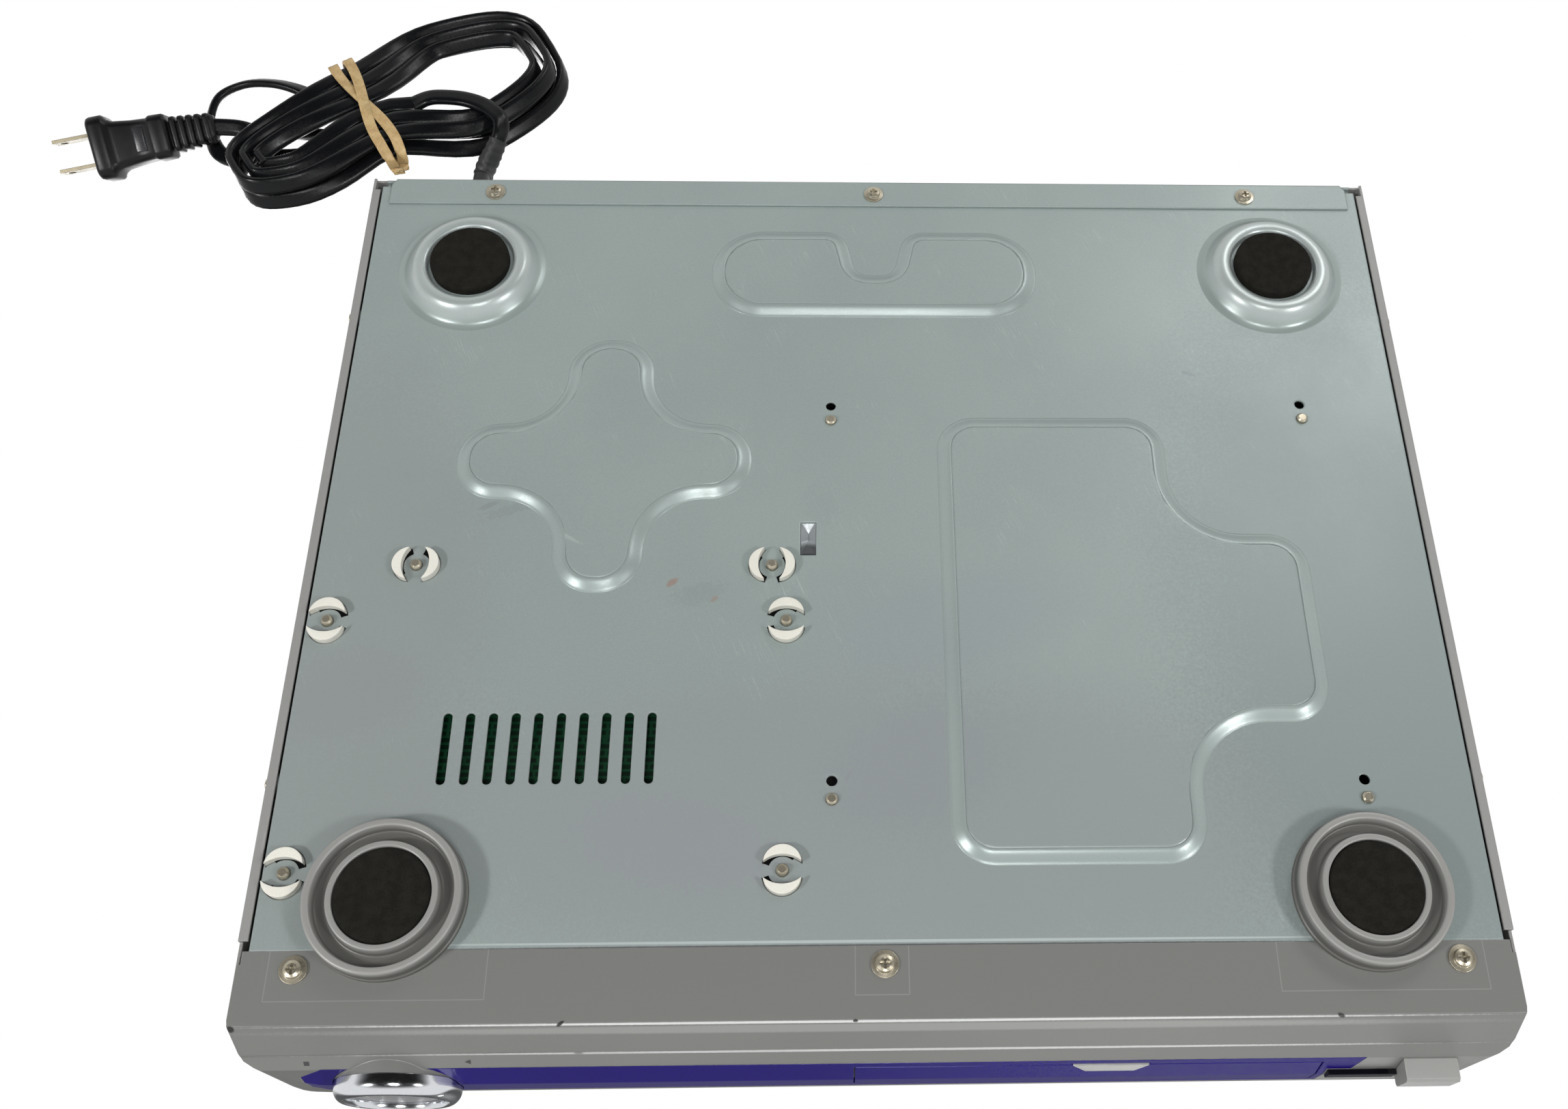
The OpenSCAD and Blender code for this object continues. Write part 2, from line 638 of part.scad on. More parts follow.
// Control ring and its four-way disc
disc_r = control_r - control_rim;
carrier_post = disc_r*0.55;
module control_ring() color(chrome) at_plate() translate([control_x, -fascia_y, control_z])
    rotate([90, 0, 0]) rotate_extrude($fn = 96) polygon([
        [disc_r + 0.1, -1.4], [control_r, -1.4], [control_r, 1.6], [control_r - 1.6, control_out - 1],
        [control_r - 2.6, control_out], [disc_r + 1, control_out - 0.6], [disc_r + 0.1, control_out - 2.6]
    ]);
module control_disc() color("#a9a8a5") at_plate() translate([control_x, -fascia_y, control_z])
    rotate([90, 0, 0]) difference() {
        rotate_extrude($fn = 72) polygon([
            [0, -2.6], [disc_r - 2, -2.6], [disc_r - 0.7, -1], [disc_r - 0.7, control_out - 3.4],
            [disc_r - 2.2, control_out - 2.4], [0, control_out - 1.9]
        ]);
        for (i = [0 : 3]) rotate(90*i) translate([disc_r*0.62, 0, control_out - 2.8])
            linear_extrude(2) circle(r = 1.7, $fn = 3);
    }
module control_carrier() color(dark) at_plate() translate([control_x, -fascia_y, control_z])
    rotate([90, 0, 0]) {
        translate([0, 0, -5.6]) cylinder(r = disc_r - 3, h = 1.7);
        translate([0, 0, -4]) cylinder(r = 5, h = 1);
        for (i = [0 : 3]) rotate(90*i) translate([carrier_post, 0, stem_end - fascia_y])
            cylinder(r = 1.6, h = fascia_y - stem_end - 5);
    }

// Feet

foot_peg_r = 4;
pad_t = 4;
module front_foot() rotate_extrude($fn = 60) {
    polygon([
        [0, 0], [front_foot_r + 0.7, 0], [front_foot_r + 0.7, -1.6], [front_foot_r, -1.9],
        [front_foot_r, -foot_h + 0.9], [front_foot_r - 0.5, -foot_h + 0.4],
        [front_foot_r - 2.2, -foot_h + 0.4], [front_foot_r - 2.7, -foot_h + 0.9],
        [front_foot_r - 3.3, -foot_h + 4.6], [pad_r + 3, -foot_h + 4.6],
        [pad_r + 2.4, -foot_h + 0.8], [pad_r + 2, -foot_h + 0.4], [pad_r + 0.6, -foot_h + 0.4],
        [pad_r + 0.2, -foot_h + 0.8], [pad_r + 0.2, -foot_h + pad_t], [0, -foot_h + pad_t]
    ]);
    translate([0, -0.5]) square([foot_peg_r, 5.5]);
}
module foot_pad() {
    cylinder(r = pad_r, h = pad_t);
}
module front_foot_left() color(bezel_grey) at_plate() translate([-foot_x, front_foot_y, 0]) front_foot();
module front_foot_right() color(bezel_grey) at_plate() translate([foot_x, front_foot_y, 0]) front_foot();
module front_left_pad() color(dark) translate([-foot_x, seam_y + front_foot_y, 0]) foot_pad();
module front_right_pad() color(dark) translate([foot_x, seam_y + front_foot_y, 0]) foot_pad();
module rear_left_pad() color(dark) translate([-foot_x, seam_y + rear_foot_y, 0]) foot_pad();
module rear_right_pad() color(dark) translate([foot_x, seam_y + rear_foot_y, 0]) foot_pad();

// Boards

board_z = sheet_t + support_h;
board_x0 = 28;
board_x1 = edge_x - 2;
board_y0 = 19;
board_y1 = 151;
tip_out = 2.3;
foot_out = 2.8;
module board_supports() color(off_white) at_plate() for (s = supports) translate([s[0], s[1], 0])
    difference() {
        union() {
            rotate(s[2]) translate([0, 0, -foot_out]) linear_extrude(foot_out + sheet_t + 0.5) crescent_pair();
            translate([0, 0, sheet_t]) cylinder(r = 6, h = 2);
            rotate(s[2]) translate([-8, -3, sheet_t]) cube([16, 6, 2]);
            translate([0, 0, sheet_t]) cylinder(r = 4, h = support_h);
        }
        translate([0, 0, -foot_out]) cylinder(r = stud_r + fit, h = support_h + 6);
    }
// Long screws through the board supports, whose tips show under the plate, and the loader's screws
module chassis_screws() color(nickel) at_plate() {
    for (s = supports) translate([s[0], s[1], 0]) {
        translate([0, 0, -tip_out]) cylinder(r1 = stud_r - 0.7, r2 = stud_r, h = 0.8);
        translate([0, 0, 0.8 - tip_out]) cylinder(r = stud_r, h = board_z + board_t + tip_out - 0.8);
        translate([0, 0, board_z + board_t]) cylinder(r1 = 3.6, r2 = 2.6, h = 2);
    }
    for (p = posts) translate([p[0], p[1], ear_z + ear_t]) {
        cylinder(r1 = 3.8, r2 = 2.8, h = 2.2);
        translate([0, 0, -ear_t - 5]) cylinder(r = screw_r, h = ear_t + 5.5);
    }
}
module main_board() color(board_green) at_plate() difference() {
    translate([board_x0, board_y0, board_z]) cube([board_x1 - board_x0, board_y1 - board_y0, board_t]);
    for (s = supports) translate([s[0], s[1], board_z - cut]) cylinder(r = stud_r + fit, h = board_t + 2*cut);
}
module transformer() color("#c9b25a") at_plate() translate([150, 96, board_z + board_t]) {
    translate([-16, -13, 0]) cube([32, 26, 4]);
    translate([-14, -7, 4]) cube([28, 14, 20]);
    translate([-17, -10, 8]) cube([34, 20, 3.5]);
    translate([-17, -10, 18]) cube([34, 20, 3.5]);
    translate([-14, -9, 11.5]) cube([28, 18, 6.5]);
}
module capacitors() color("#2c3340") at_plate() translate([0, 0, board_z + board_t]) {
    translate([board_x1 - 19.6, 60, 0]) cylinder(r = 9, h = 26);
    translate([120, 118, 0]) cylinder(r = 6.5, h = 20);
    translate([103, 118, 0]) cylinder(r = 5, h = 16);
    translate([90, 118, 0]) cylinder(r = 5, h = 16);
    translate([122, 100, 0]) cylinder(r = 4, h = 12);
    translate([60, 132, 0]) cylinder(r = 4, h = 11);
    translate([board_x1 - 13.6, 92, 0]) cylinder(r = 6, h = 12);
}
module heat_sink() color("#8f9296") at_plate() translate([168, 34, board_z + board_t]) {
    translate([-20, -1, 0]) cube([40, 2, 28]);
    for (i = [0 : 6]) translate([-20 + 6.4*i, 0, 0]) cube([1.6, 9, 28]);
}
module board_chips() color("#1d1f22") at_plate() translate([0, 0, board_z + board_t]) {
    translate([66, 60, 0]) cube([28, 28, 2.6], center = false);
    translate([48, 98, 0]) cube([18, 10, 2.2]);
    translate([104, 50, 0]) cube([12, 22, 2.4]);
    translate([40, 34, 0]) cube([24, 6, 8]);
    translate([80, 30, 0]) cube([34, 6, 9]);
}
module jack_board() color(board_green) at_plate() difference() {
    translate([-125, panel_y - 42, 8]) cube([135, 30, board_t]);
    for (x = [-118, 3]) translate([x, panel_y - 34, 7]) cylinder(r = screw_r, h = 4);
}
module rear_jacks() color("#33343a") at_plate() {
    for (x = jack_x) {
        translate([x - 6, panel_y - 13.5, 8 + board_t]) cube([12, 13.5 - 0.05, 34]);
        for (z = jack_z) translate([x, panel_y - 1, z]) rotate([-90, 0, 0]) difference() {
            cylinder(r = jack_r, h = jack_reach + sheet_t + 1);
            translate([0, 0, 3]) cylinder(r = 1.7, h = jack_reach + 4);
        }
    }
    translate([round_jack_x - 7, panel_y - 13.5, 8 + board_t]) cube([14, 13.45, 35]);
    translate([round_jack_x, panel_y - 1, jack_z[1]]) rotate([-90, 0, 0]) difference() {
        cylinder(r = 4.9, h = 3.6);
        translate([0, 0, 1.4]) difference() {
            cylinder(r = 4.1, h = 4);
            cylinder(r = 2.4, h = 4);
        }
    }
    translate([optical_x - 7, panel_y - 13.5, 8 + board_t]) cube([14, 13.45, 35]);
    translate([optical_x - 5, panel_y - 1, jack_z[1] - 5]) cube([10, 4.2, 10]);
}
// The front board runs low under the tray and tall at both ends
front_low = 8;
front_top = body_h - bezel_wall - 2.4;
front_x0 = power_x - 14;
front_x1 = view_x + view_w + 80;
module front_board() color(board_green) at_plate() translate([0, board_y, front_low]) {
    translate([front_x0, 0, 0]) cube([front_x1 - front_x0, board_t, opening_z - front_low - 0.6]);
    translate([view_x - 6, 0, 0]) cube([front_x1 - view_x + 6, board_t, front_top - front_low]);
    translate([front_x0, 0, 0]) cube([34, board_t, 34]);
}
module display_module() color("#20242c") at_plate() {
    translate([view_x - 2, -31.5, door_z + 0.5]) cube([view_w + 4, 31.5 + board_y, door_h - 1]);
}
module switch_body(w) translate([-w/2, board_y - switch_l, -w/2]) cube([w, switch_l, w]);
module push_switches() color(dark) at_plate() {
    for (i = [0 : 3]) translate([control_x + carrier_post*cos(90*i), 0, control_z + carrier_post*sin(90*i)])
        switch_body(4);
    translate([power_x, 0, power_z + power_h/2]) switch_body(6);
    translate([loader_x, 0, eject_z + eject_h/2]) switch_body(3.4);
}

// Disc loader

ear_z = 13;
ear_t = 3;
tray_x0 = loader_x - tray_w/2;
tray_x1 = loader_x + tray_w/2;
tray_y0 = -31;
tray_y1 = 150;
wall_in = tray_w/2 + 0.5;
wall_out = wall_in + 3;
frame_y0 = -18;
frame_y1 = 212;
floor_top = ear_z + ear_t;
pressure = 25;
addendum = 0.8;
backlash = 0.12;
rack_x = tray_x1 - 14;
gear_y = -2;
tray_gear_r = gear_m*tray_teeth/2;
tray_gear_x = rack_x - tray_gear_r;
pinion_x = tray_gear_x - tray_gear_r - gear_m*pinion_teeth/2;
pulley_r = 11;
motor_x = loader_x - 8;
motor_y = -4;
belt_z = 18.4;
groove_r = 9.9;
motor_groove_r = 2.6;
axle_r = 2;
run_fit = 0.06;
tight_fit = 0.02;
seat_z = tray_z + tray_t - 0.7;

// Gear outlines with involute flanks
function inv(a) = tan(a)*180/PI - a;
function flank_angle(m, z, rho) = let(r = m*z/2, rb = r*cos(pressure))
    (PI*m/2 - backlash)/(2*r)*180/PI + inv(pressure) - inv(acos(min(1, rb/rho)));
function gear_points(m, z) = let(
    r = m*z/2,
    rb = r*cos(pressure),
    tip = r + addendum*m,
    root = r - (addendum + 0.25)*m,
    low = max(rb, root),
    radii = [for (k = [0 : 4]) low + (tip - low)*k/4])
    [for (i = [0 : z - 1]) let(c = 360*i/z) each concat(
        [[root, c - flank_angle(m, z, low)]],
        [for (q = radii) [q, c - flank_angle(m, z, q)]],
        [for (k = [4 : -1 : 0]) [radii[k], c + flank_angle(m, z, radii[k])]],
        [[root, c + flank_angle(m, z, low)]])];
module gear_outline(m, z) polygon([for (p = gear_points(m, z)) p[0]*[cos(p[1]), sin(p[1])]]);
// A rack along +Y with its teeth towards -X, a gap centred on y = 0 and its pitch line on x = 0
module rack_outline(m, first, last, back) {
    pitch = PI*m;
    half = (PI*m/2 - backlash)/2;
    lean = addendum*m*tan(pressure);
    deep = (addendum + 0.25)*m;
    polygon(concat(
        [[back, (first - 0.4)*pitch], [back, (last + 1.4)*pitch], [deep, (last + 1.4)*pitch]],
        [for (i = [last : -1 : first]) let(y = (i + 0.5)*pitch) each [
            [deep, y + half + deep*tan(pressure)], [-addendum*m, y + half - lean],
            [-addendum*m, y - half + lean], [deep, y - half - deep*tan(pressure)]]],
        [[deep, (first - 0.4)*pitch]]));
}

module loader_posts() color(nickel) at_plate() for (p = posts) translate([p[0], p[1], 0]) difference() {
    union() {
        translate([0, 0, -1.6]) cylinder(r1 = stud_r - 0.6, r2 = stud_r, h = 0.6);
        translate([0, 0, -1]) cylinder(r = stud_r, h = 2);
        translate([0, 0, sheet_t]) cylinder(r = 3.6, h = ear_z - sheet_t);
    }
    translate([0, 0, ear_z - 6]) cylinder(r = screw_r + fit, h = 7);
}

pivot_y = 138;
pivot_z = 19.5;
pivot_r = 2;
bay_x0 = loader_x - 38;
bay_x1 = loader_x + 46;
bay_y0 = 14;
bay_y1 = 145;
module loader_frame() color("#3a3b3d") at_plate() difference() {
    union() {
        translate([loader_x - wall_out, frame_y0, ear_z]) cube([2*wall_out, frame_y1 - frame_y0, ear_t]);
        translate([loader_x - wall_out, frame_y1 - 3, ear_z]) cube([2*wall_out, 3, 15]);
        for (s = [-1, 1]) {
            translate([loader_x + s*(wall_in + 1.5) - 1.5, frame_y0, ear_z])
                cube([3, frame_y1 - frame_y0, 25]);
            translate([loader_x + s*(wall_in - 2.5) - 2.75, frame_y0, tray_z - tray_gap - 1.6])
                cube([5.5, frame_y1 - frame_y0, 1.6]);
            translate([loader_x + s*(wall_in - 1) - 1.25, frame_y0 + 4, tray_z + tray_t + tray_gap])
                cube([2.5, frame_y1 - frame_y0 - 4, 1.6]);
            translate([(s > 0 ? bay_x1 + 2 : bay_x0 - 2) - 2, pivot_y - 4.5, floor_top - 0.1])
                cube([4, 9, pivot_z - floor_top + 4.1]);
        }
        for (p = posts) {
            translate([p[0], p[1], ear_z]) cylinder(r = 6, h = ear_t);
            edge = loader_x + (p[0] > loader_x ? 1 : -1)*wall_in;
            translate([min(p[0], edge), p[1] - 6, ear_z]) cube([abs(p[0] - edge), 12, ear_t]);
        }
        translate([tray_gear_x, gear_y, floor_top - 0.1]) cylinder(r = axle_r, h = tray_z - floor_top - 0.6);
        translate([tray_gear_x, gear_y, floor_top - 0.1]) cylinder(r = 4, h = 5.6);
        translate([pinion_x, gear_y, floor_top - 0.1]) cylinder(r = axle_r, h = 9.6);
    }
    translate([bay_x0, bay_y0, ear_z - cut]) cube([bay_x1 - bay_x0, bay_y1 - bay_y0, ear_t + 2*cut]);
    translate([loader_x - 45, 156, ear_z - cut]) cube([90, 42, ear_t + 2*cut]);
    translate([bay_x0 - 5, pivot_y, pivot_z]) rotate([0, 90, 0])
        cylinder(r = pivot_r + run_fit, h = bay_x1 - bay_x0 + 10);
    translate([motor_x, motor_y, ear_z - cut]) cylinder(r = 1.4, h = ear_t + 2*cut);
    for (p = posts) translate([p[0], p[1], ear_z - cut]) cylinder(r = screw_r + fit, h = ear_t + 2*cut);
}

pocket_r = disc_pocket_d/2;
// The tray's lip steps back where the door leans back
lip_front = door_back - 1.5;
module disc_tray() color("#3f4144") at_plate() {
    difference() {
        union() {
            translate([tray_x0, tray_y0, tray_z]) cube([tray_w, tray_y1 - tray_y0, tray_t]);
            translate([loader_x - 58, -door_back, tray_z + 2]) cube([116, door_back + tray_y0 + 1, tray_t]);
            translate([loader_x - 58, -lip_front, tray_z - 4]) cube([116, lip_front + tray_y0 + 1, tray_t + 6]);
        }
        translate([loader_x, spindle_y, tray_z + 2.3]) cylinder(r = pocket_r, h = 10, $fn = 96);
        translate([loader_x, spindle_y, tray_z + 1.5]) cylinder(r = 40.6, h = 10, $fn = 96);
        translate([loader_x, spindle_y, tray_z - cut]) cylinder(r = 19, h = 10);
        translate([loader_x - 19, spindle_y, tray_z - cut]) cube([38, 200, 10]);
        for (s = [-1, 1]) translate([loader_x + s*(pocket_r - 4), spindle_y, tray_z + 1]) cylinder(r = 11, h = 10);
    }
    translate([rack_x, gear_y, tray_z - 3.7]) linear_extrude(3.8)
        rack_outline(gear_m, -2, 46, 4);
}
module tray_gear() color("#e8e6de") at_plate() translate([tray_gear_x, gear_y, 0]) difference() {
    translate([0, 0, 21.8]) linear_extrude(7.8) gear_outline(gear_m, tray_teeth);
    translate([0, 0, 21]) cylinder(r = axle_r + run_fit, h = 10);
    translate([0, 0, 24]) difference() {
        cylinder(r = tray_gear_r - 2.6, h = 10);
        cylinder(r = 4.4, h = 10);
    }
}
module loading_pulley() color("#e8e6de") at_plate() translate([pinion_x, gear_y, 0]) difference() {
    union() {
        rotate_extrude() polygon([
            [0, 17.4], [pulley_r, 17.4], [pulley_r, 18], [groove_r, 18.6], [groove_r, 19.8],
            [pulley_r, 20.4], [pulley_r, 21], [0, 21]
        ]);
        translate([0, 0, 20.9]) linear_extrude(4.3) rotate(180/pinion_teeth)
            gear_outline(gear_m, pinion_teeth);
    }
    translate([0, 0, 16]) cylinder(r = axle_r + run_fit, h = 12);
}
module loading_motor() color("#b7b9bb") at_plate() translate([motor_x, motor_y, 0]) {
    translate([0, 0, bezel_wall + 0.5]) cylinder(r = 12, h = ear_z - bezel_wall - 0.5);
    translate([0, 0, ear_z - 1]) cylinder(r = 1, h = 9);
}
module motor_pulley() color("#d8c98a") at_plate() translate([motor_x, motor_y, 0])
    rotate_extrude() polygon([
        [1 + run_fit, 17.4], [3.6, 17.4], [3.6, 18], [motor_groove_r, 18.6], [motor_groove_r, 19.8],
        [3.6, 20.4], [3.6, 21], [1 + run_fit, 21]
    ]);
// A square-section belt round the two pulleys
module belt_outline(grow) hull() {
    translate([motor_x, motor_y]) circle(r = motor_groove_r + 0.1 + grow, $fn = 24);
    translate([pinion_x, gear_y]) circle(r = groove_r + 0.1 + grow, $fn = 48);
}
module loading_belt() color("#1b1b1b") at_plate() translate([0, 0, belt_z + 0.3]) linear_extrude(1) difference() {
    belt_outline(0.9);
    belt_outline(0);
}

bridge_z = 42.8;
module clamp_bridge() color("#aeb3b4") at_plate() difference() {
    union() {
        translate([loader_x - wall_out, 12, bridge_z]) cube([2*wall_out, 46, sheet_t]);
        for (s = [-1, 1]) translate([loader_x + s*(wall_out - 0.5) - 0.5, 12, ear_z + 25])
            cube([1, 46, bridge_z - ear_z - 24]);
        for (y = [16, 53]) translate([loader_x - wall_out + 10, y, bridge_z + 0.5]) cube([2*wall_out - 20, 1.4, 2]);
    }
    translate([loader_x, spindle_y, bridge_z - cut]) cylinder(r = 11, h = 5);
}
module disc_clamp() color("#dcdad2") at_plate() translate([loader_x, spindle_y, 0]) difference() {
    rotate_extrude() polygon([
        [0, seat_z + 3.2], [15, seat_z + 3.2], [15, seat_z + 5.2], [9.6, seat_z + 5.2], [9.6, bridge_z + 1.3],
        [13, bridge_z + 1.3], [13, bridge_z + 2.3], [4, bridge_z + 2.3], [4, bridge_z], [0, bridge_z]
    ]);
    for (i = [0 : 5]) rotate(60*i) translate([7, 0, bridge_z + 1.6]) cylinder(r = 1.6, h = 3);
}

// Traverse: the frame that carries the spindle and the pickup, hinged at its rear

trav_x0 = loader_x - 35;
trav_x1 = loader_x + 43;
trav_y0 = 17;
trav_y1 = 141;
trav_z = 18;
rail_r = 1.5;
rail_x = [loader_x - 20, loader_x + 20];
rail_z = 16;
sled_y = 52;
feed_m = 0.8;
feed_teeth = 20;
feed_pinion_teeth = 10;
feed_rack_x = loader_x + 25.8;
feed_x = feed_rack_x + feed_m*feed_teeth/2;
feed_y = 66;
feed_pinion_y = feed_y + feed_m*(feed_teeth + feed_pinion_teeth)/2;
module traverse_frame() color("#4a4c4f") at_plate() difference() {
    union() {
        translate([trav_x0, trav_y0, trav_z]) cube([trav_x1 - trav_x0, trav_y1 - trav_y0, 3]);
        for (x = rail_x) for (y = [47.2, 131.6]) translate([x - 3, y, rail_z - 3]) cube([6, 4, 6]);
        translate([trav_x0 - 6.4, pivot_y, pivot_z]) rotate([0, 90, 0])
            cylinder(r = pivot_r, h = trav_x1 - trav_x0 + 12.8);
        translate([feed_x, feed_y, trav_z + 2.9]) cylinder(r = 1.2, h = 3.3);
    }
    translate([loader_x - 26, 51.2, trav_z - 5]) cube([57, 80.4, 12]);
    translate([loader_x, spindle_y, trav_z - cut]) cylinder(r = 3.4, h = 5);
    translate([feed_x, feed_pinion_y, trav_z - cut]) cylinder(r = 1.2, h = 5);
    for (x = rail_x) translate([x, 40, rail_z]) rotate([-90, 0, 0]) cylinder(r = rail_r + tight_fit, h = 100);
}
module sled_rails() color("#c4c7ca") at_plate() for (x = rail_x)
    translate([x, 47.4, rail_z]) rotate([-90, 0, 0]) cylinder(r = rail_r, h = 88);
module spindle_motor() color("#b7b9bb") at_plate() translate([loader_x, spindle_y, 0]) {
    translate([0, 0, 12]) cylinder(r = 11.6, h = trav_z - 12);
    translate([0, 0, trav_z - 1]) cylinder(r = 1, h = seat_z - trav_z - 1);
}
module turntable() color("#2f3032") at_plate() translate([loader_x, spindle_y, 0])
    rotate_extrude($fn = 72) polygon([
        [1 + run_fit, trav_z + 4.2], [2.8, trav_z + 4.2], [4.6, seat_z - 3], [turntable_r, seat_z - 2],
        [turntable_r, seat_z], [7.4, seat_z], [7.4, seat_z + 0.8], [5.6, seat_z + 2.8], [0, seat_z + 2.8],
        [0, seat_z - 1.6], [1 + run_fit, seat_z - 1.6]
    ]);
module pickup_sled() color("#26282b") at_plate() difference() {
    union() {
        translate([loader_x - 16, sled_y, 12]) cube([32, sled_l, 12]);
        for (x = rail_x) translate([x - 3.4, sled_y, rail_z - 3]) cube([6.8, sled_l, 6.4]);
        translate([loader_x + 14, sled_y, 15]) cube([7, sled_l, 6]);
        translate([loader_x + 16, sled_y + 2, 19]) cube([8.6, 20, 5.2]);
        translate([feed_rack_x, feed_y, trav_z + 3.6]) mirror([1, 0, 0]) linear_extrude(2.6)
            rack_outline(feed_m, -14, 3, 2.6);
    }
    for (x = rail_x) translate([x, sled_y - cut, rail_z]) rotate([-90, 0, 0])
        cylinder(r = rail_r + run_fit, h = sled_l + 2*cut);
}
module pickup_lens() color("#6f7fa8") at_plate() translate([loader_x, sled_y + 5.5, 24]) {
    translate([-6, -5, 0]) cube([12, 10, 1.2]);
    translate([0, 0, 1.2]) cylinder(r1 = 3.4, r2 = 2.6, h = 1.2);
}
module feed_gear() color("#e8e6de") at_plate() translate([feed_x, feed_y, trav_z + 3.4]) difference() {
    linear_extrude(2.6) gear_outline(feed_m, feed_teeth);
    translate([0, 0, -cut]) cylinder(r = 1.2 + run_fit, h = 6);
}
module feed_motor() color("#b7b9bb") at_plate() translate([feed_x, feed_pinion_y, 0]) {
    translate([0, 0, 8]) cylinder(r = 5.4, h = trav_z - 8);
    translate([0, 0, trav_z - 1]) cylinder(r = 0.75, h = 7);
}
module feed_pinion() color("#d8c98a") at_plate() translate([feed_x, feed_pinion_y, trav_z + 3.4]) difference() {
    linear_extrude(2.6) gear_outline(feed_m, feed_pinion_teeth);
    translate([0, 0, -cut]) cylinder(r = 0.75 + run_fit, h = 6);
}

// Power cord: a flat twin cord whose width stands upright, except where it turns into the plug

// Points of the free lead from the gland to the hank, as [x, y, z, roll]; a roll of 90 lies flat
lead_points = [
    [172, 191.2, 16.9, 0], [172, 193.5, 16.9, 0], [170, 197.5, 14, 5], [166.5, 202, 9.5, 15],
    [164, 207, 6, 30], [163.5, 212, 3.9, 60], [165.5, 216, 2.7, 85], [172, 221.5, 2.6, 90],
    [181, 225, 2.6, 90], [191, 226, 2.6, 90], [197, 225.2, 2.8, 85]
];
// Points of the free tail from the hank to the plug
tail_points = [
    [179.4, 219.4, 16.2, 12], [194, 218.7, 16, 40], [208, 218.5, 16.6, 68], [220.7, 220.2, 18.2, 86],
    [231, 225.7, 18.6, 90], [241.3, 231.2, 18.2, 86], [250, 237, 16.5, 75], [260, 241.5, 14.5, 60],
    [271, 243.5, 13.2, 52], [283, 242, 12.6, 48], [293, 235, 13.2, 36], [296, 225, 15.6, 32],
    [295, 216.5, 18.6, 45], [291, 209, 20.2, 70], [284, 205, 20.4, 88], [275, 205, 20.6, 90],
    [265, 207, 21.2, 60], [255, 209, 22.2, 20], [246, 212.5, 22.4, 5], [243, 217.5, 22.2, 5],
    [247, 221, 22, 5], [256, 220, 21, 30], [264, 217, 18.6, 70], [272, 214.6, 14.2, 100],
    [280, 214.2, 10.6, 120]
];

// The hank: loops drawn in at a waist, in a lower layer that spirals outwards and an upper one that
// spirals inwards; the cord lies flat at the waist and stands on edge in the two bights
hank_at = [225.5, 218.5];
hank_heading = 149;
hank_mid = 15.5;
hank_half = 75.5;
waist_at = 3;
waist_reach = 45;
// Each value at the waist, in the far bight and in the near bight
half_widths = [23.1, 35.8, 24.6];
sideways = [-0.3, 0, -5];
levels = [3.6, 8.7, 4.5];
layer_steps = [4.8, 8.4, 8.4];
loop_steps = [hank_pitch + 3.8, hank_pitch + 2, hank_pitch + 1.1];
first_angle = 270;
low_turns = 2.5;
turn_round = 0.5;
high_turns = 0.9167;
climb_arc = 80;
rings_per_loop = 24;

function smooth(u) = u*u*(3 - 2*u);
// Share of the bight's value, from 0 at the waist to 1 in a bight
function bight(p) = smooth(min(1, abs(p - waist_at)/waist_reach));
function blend(v, p) = v[0] + bight(p)*(v[p > waist_at ? 1 : 2] - v[0]);
function hank_outline(a) = let(p = hank_mid + hank_half*cos(a), s = sin(a))
    [p, blend(sideways, p) + blend(half_widths, p)*sign(s)*pow(abs(s), 0.6)];
function hank_normal(a) = let(t = unit(hank_outline(a + 1.5) - hank_outline(a - 1.5))) [t[1], -t[0]];
// Steps inwards from the outline after t turns
function steps_in(t) = max(low_turns - t, 0, t - low_turns - turn_round);
function climbed(t) = smooth(min(1, max(0, 0.5 + 360*(t - low_turns - turn_round/2)/climb_arc)));
function hank_place(p, q, z, roll) = [
    hank_at[0] + p*cos(hank_heading) + q*sin(hank_heading),
    hank_at[1] + p*sin(hank_heading) - q*cos(hank_heading), z, roll];
function hank_point(t) = let(
    a = first_angle - 360*t,
    o = hank_outline(a),
    w = o - steps_in(t)*blend(loop_steps, o[0])*hank_normal(a),
    p = w[0],
    b = 1 - bight(p),
    rise = layer_steps[1] - (layer_steps[1] - layer_steps[0])*b*b*b)
    hank_place(p, w[1], blend(levels, p) + climbed(t)*rise, 90*b);
hank_loops = low_turns + turn_round + high_turns;
hank_route = [for (i = [0 : round(rings_per_loop*hank_loops)]) hank_point(i/rings_per_loop)];

// Catmull-Rom points between the chosen ones
function spline_at(p, i, u) = let(
    a = p[max(i - 1, 0)], b = p[i], c = p[i + 1], d = p[min(i + 2, len(p) - 1)])
    0.5*(2*b + (c - a)*u + (2*a - 5*b + 4*c - d)*u*u + (3*b - a - 3*c + d)*u*u*u);
function spline(p, steps) = concat(
    [for (i = [0 : len(p) - 2]) for (k = [0 : steps - 1]) spline_at(p, i, k/steps)], [p[len(p) - 1]]);
function flat3(p) = [p[0], p[1], p[2]];
function heading_at(r, i, ends) = i == 0 ? ends[0] : i == len(r) - 1 ? ends[1] : unit(flat3(r[i + 1]) - flat3(r[i - 1]));

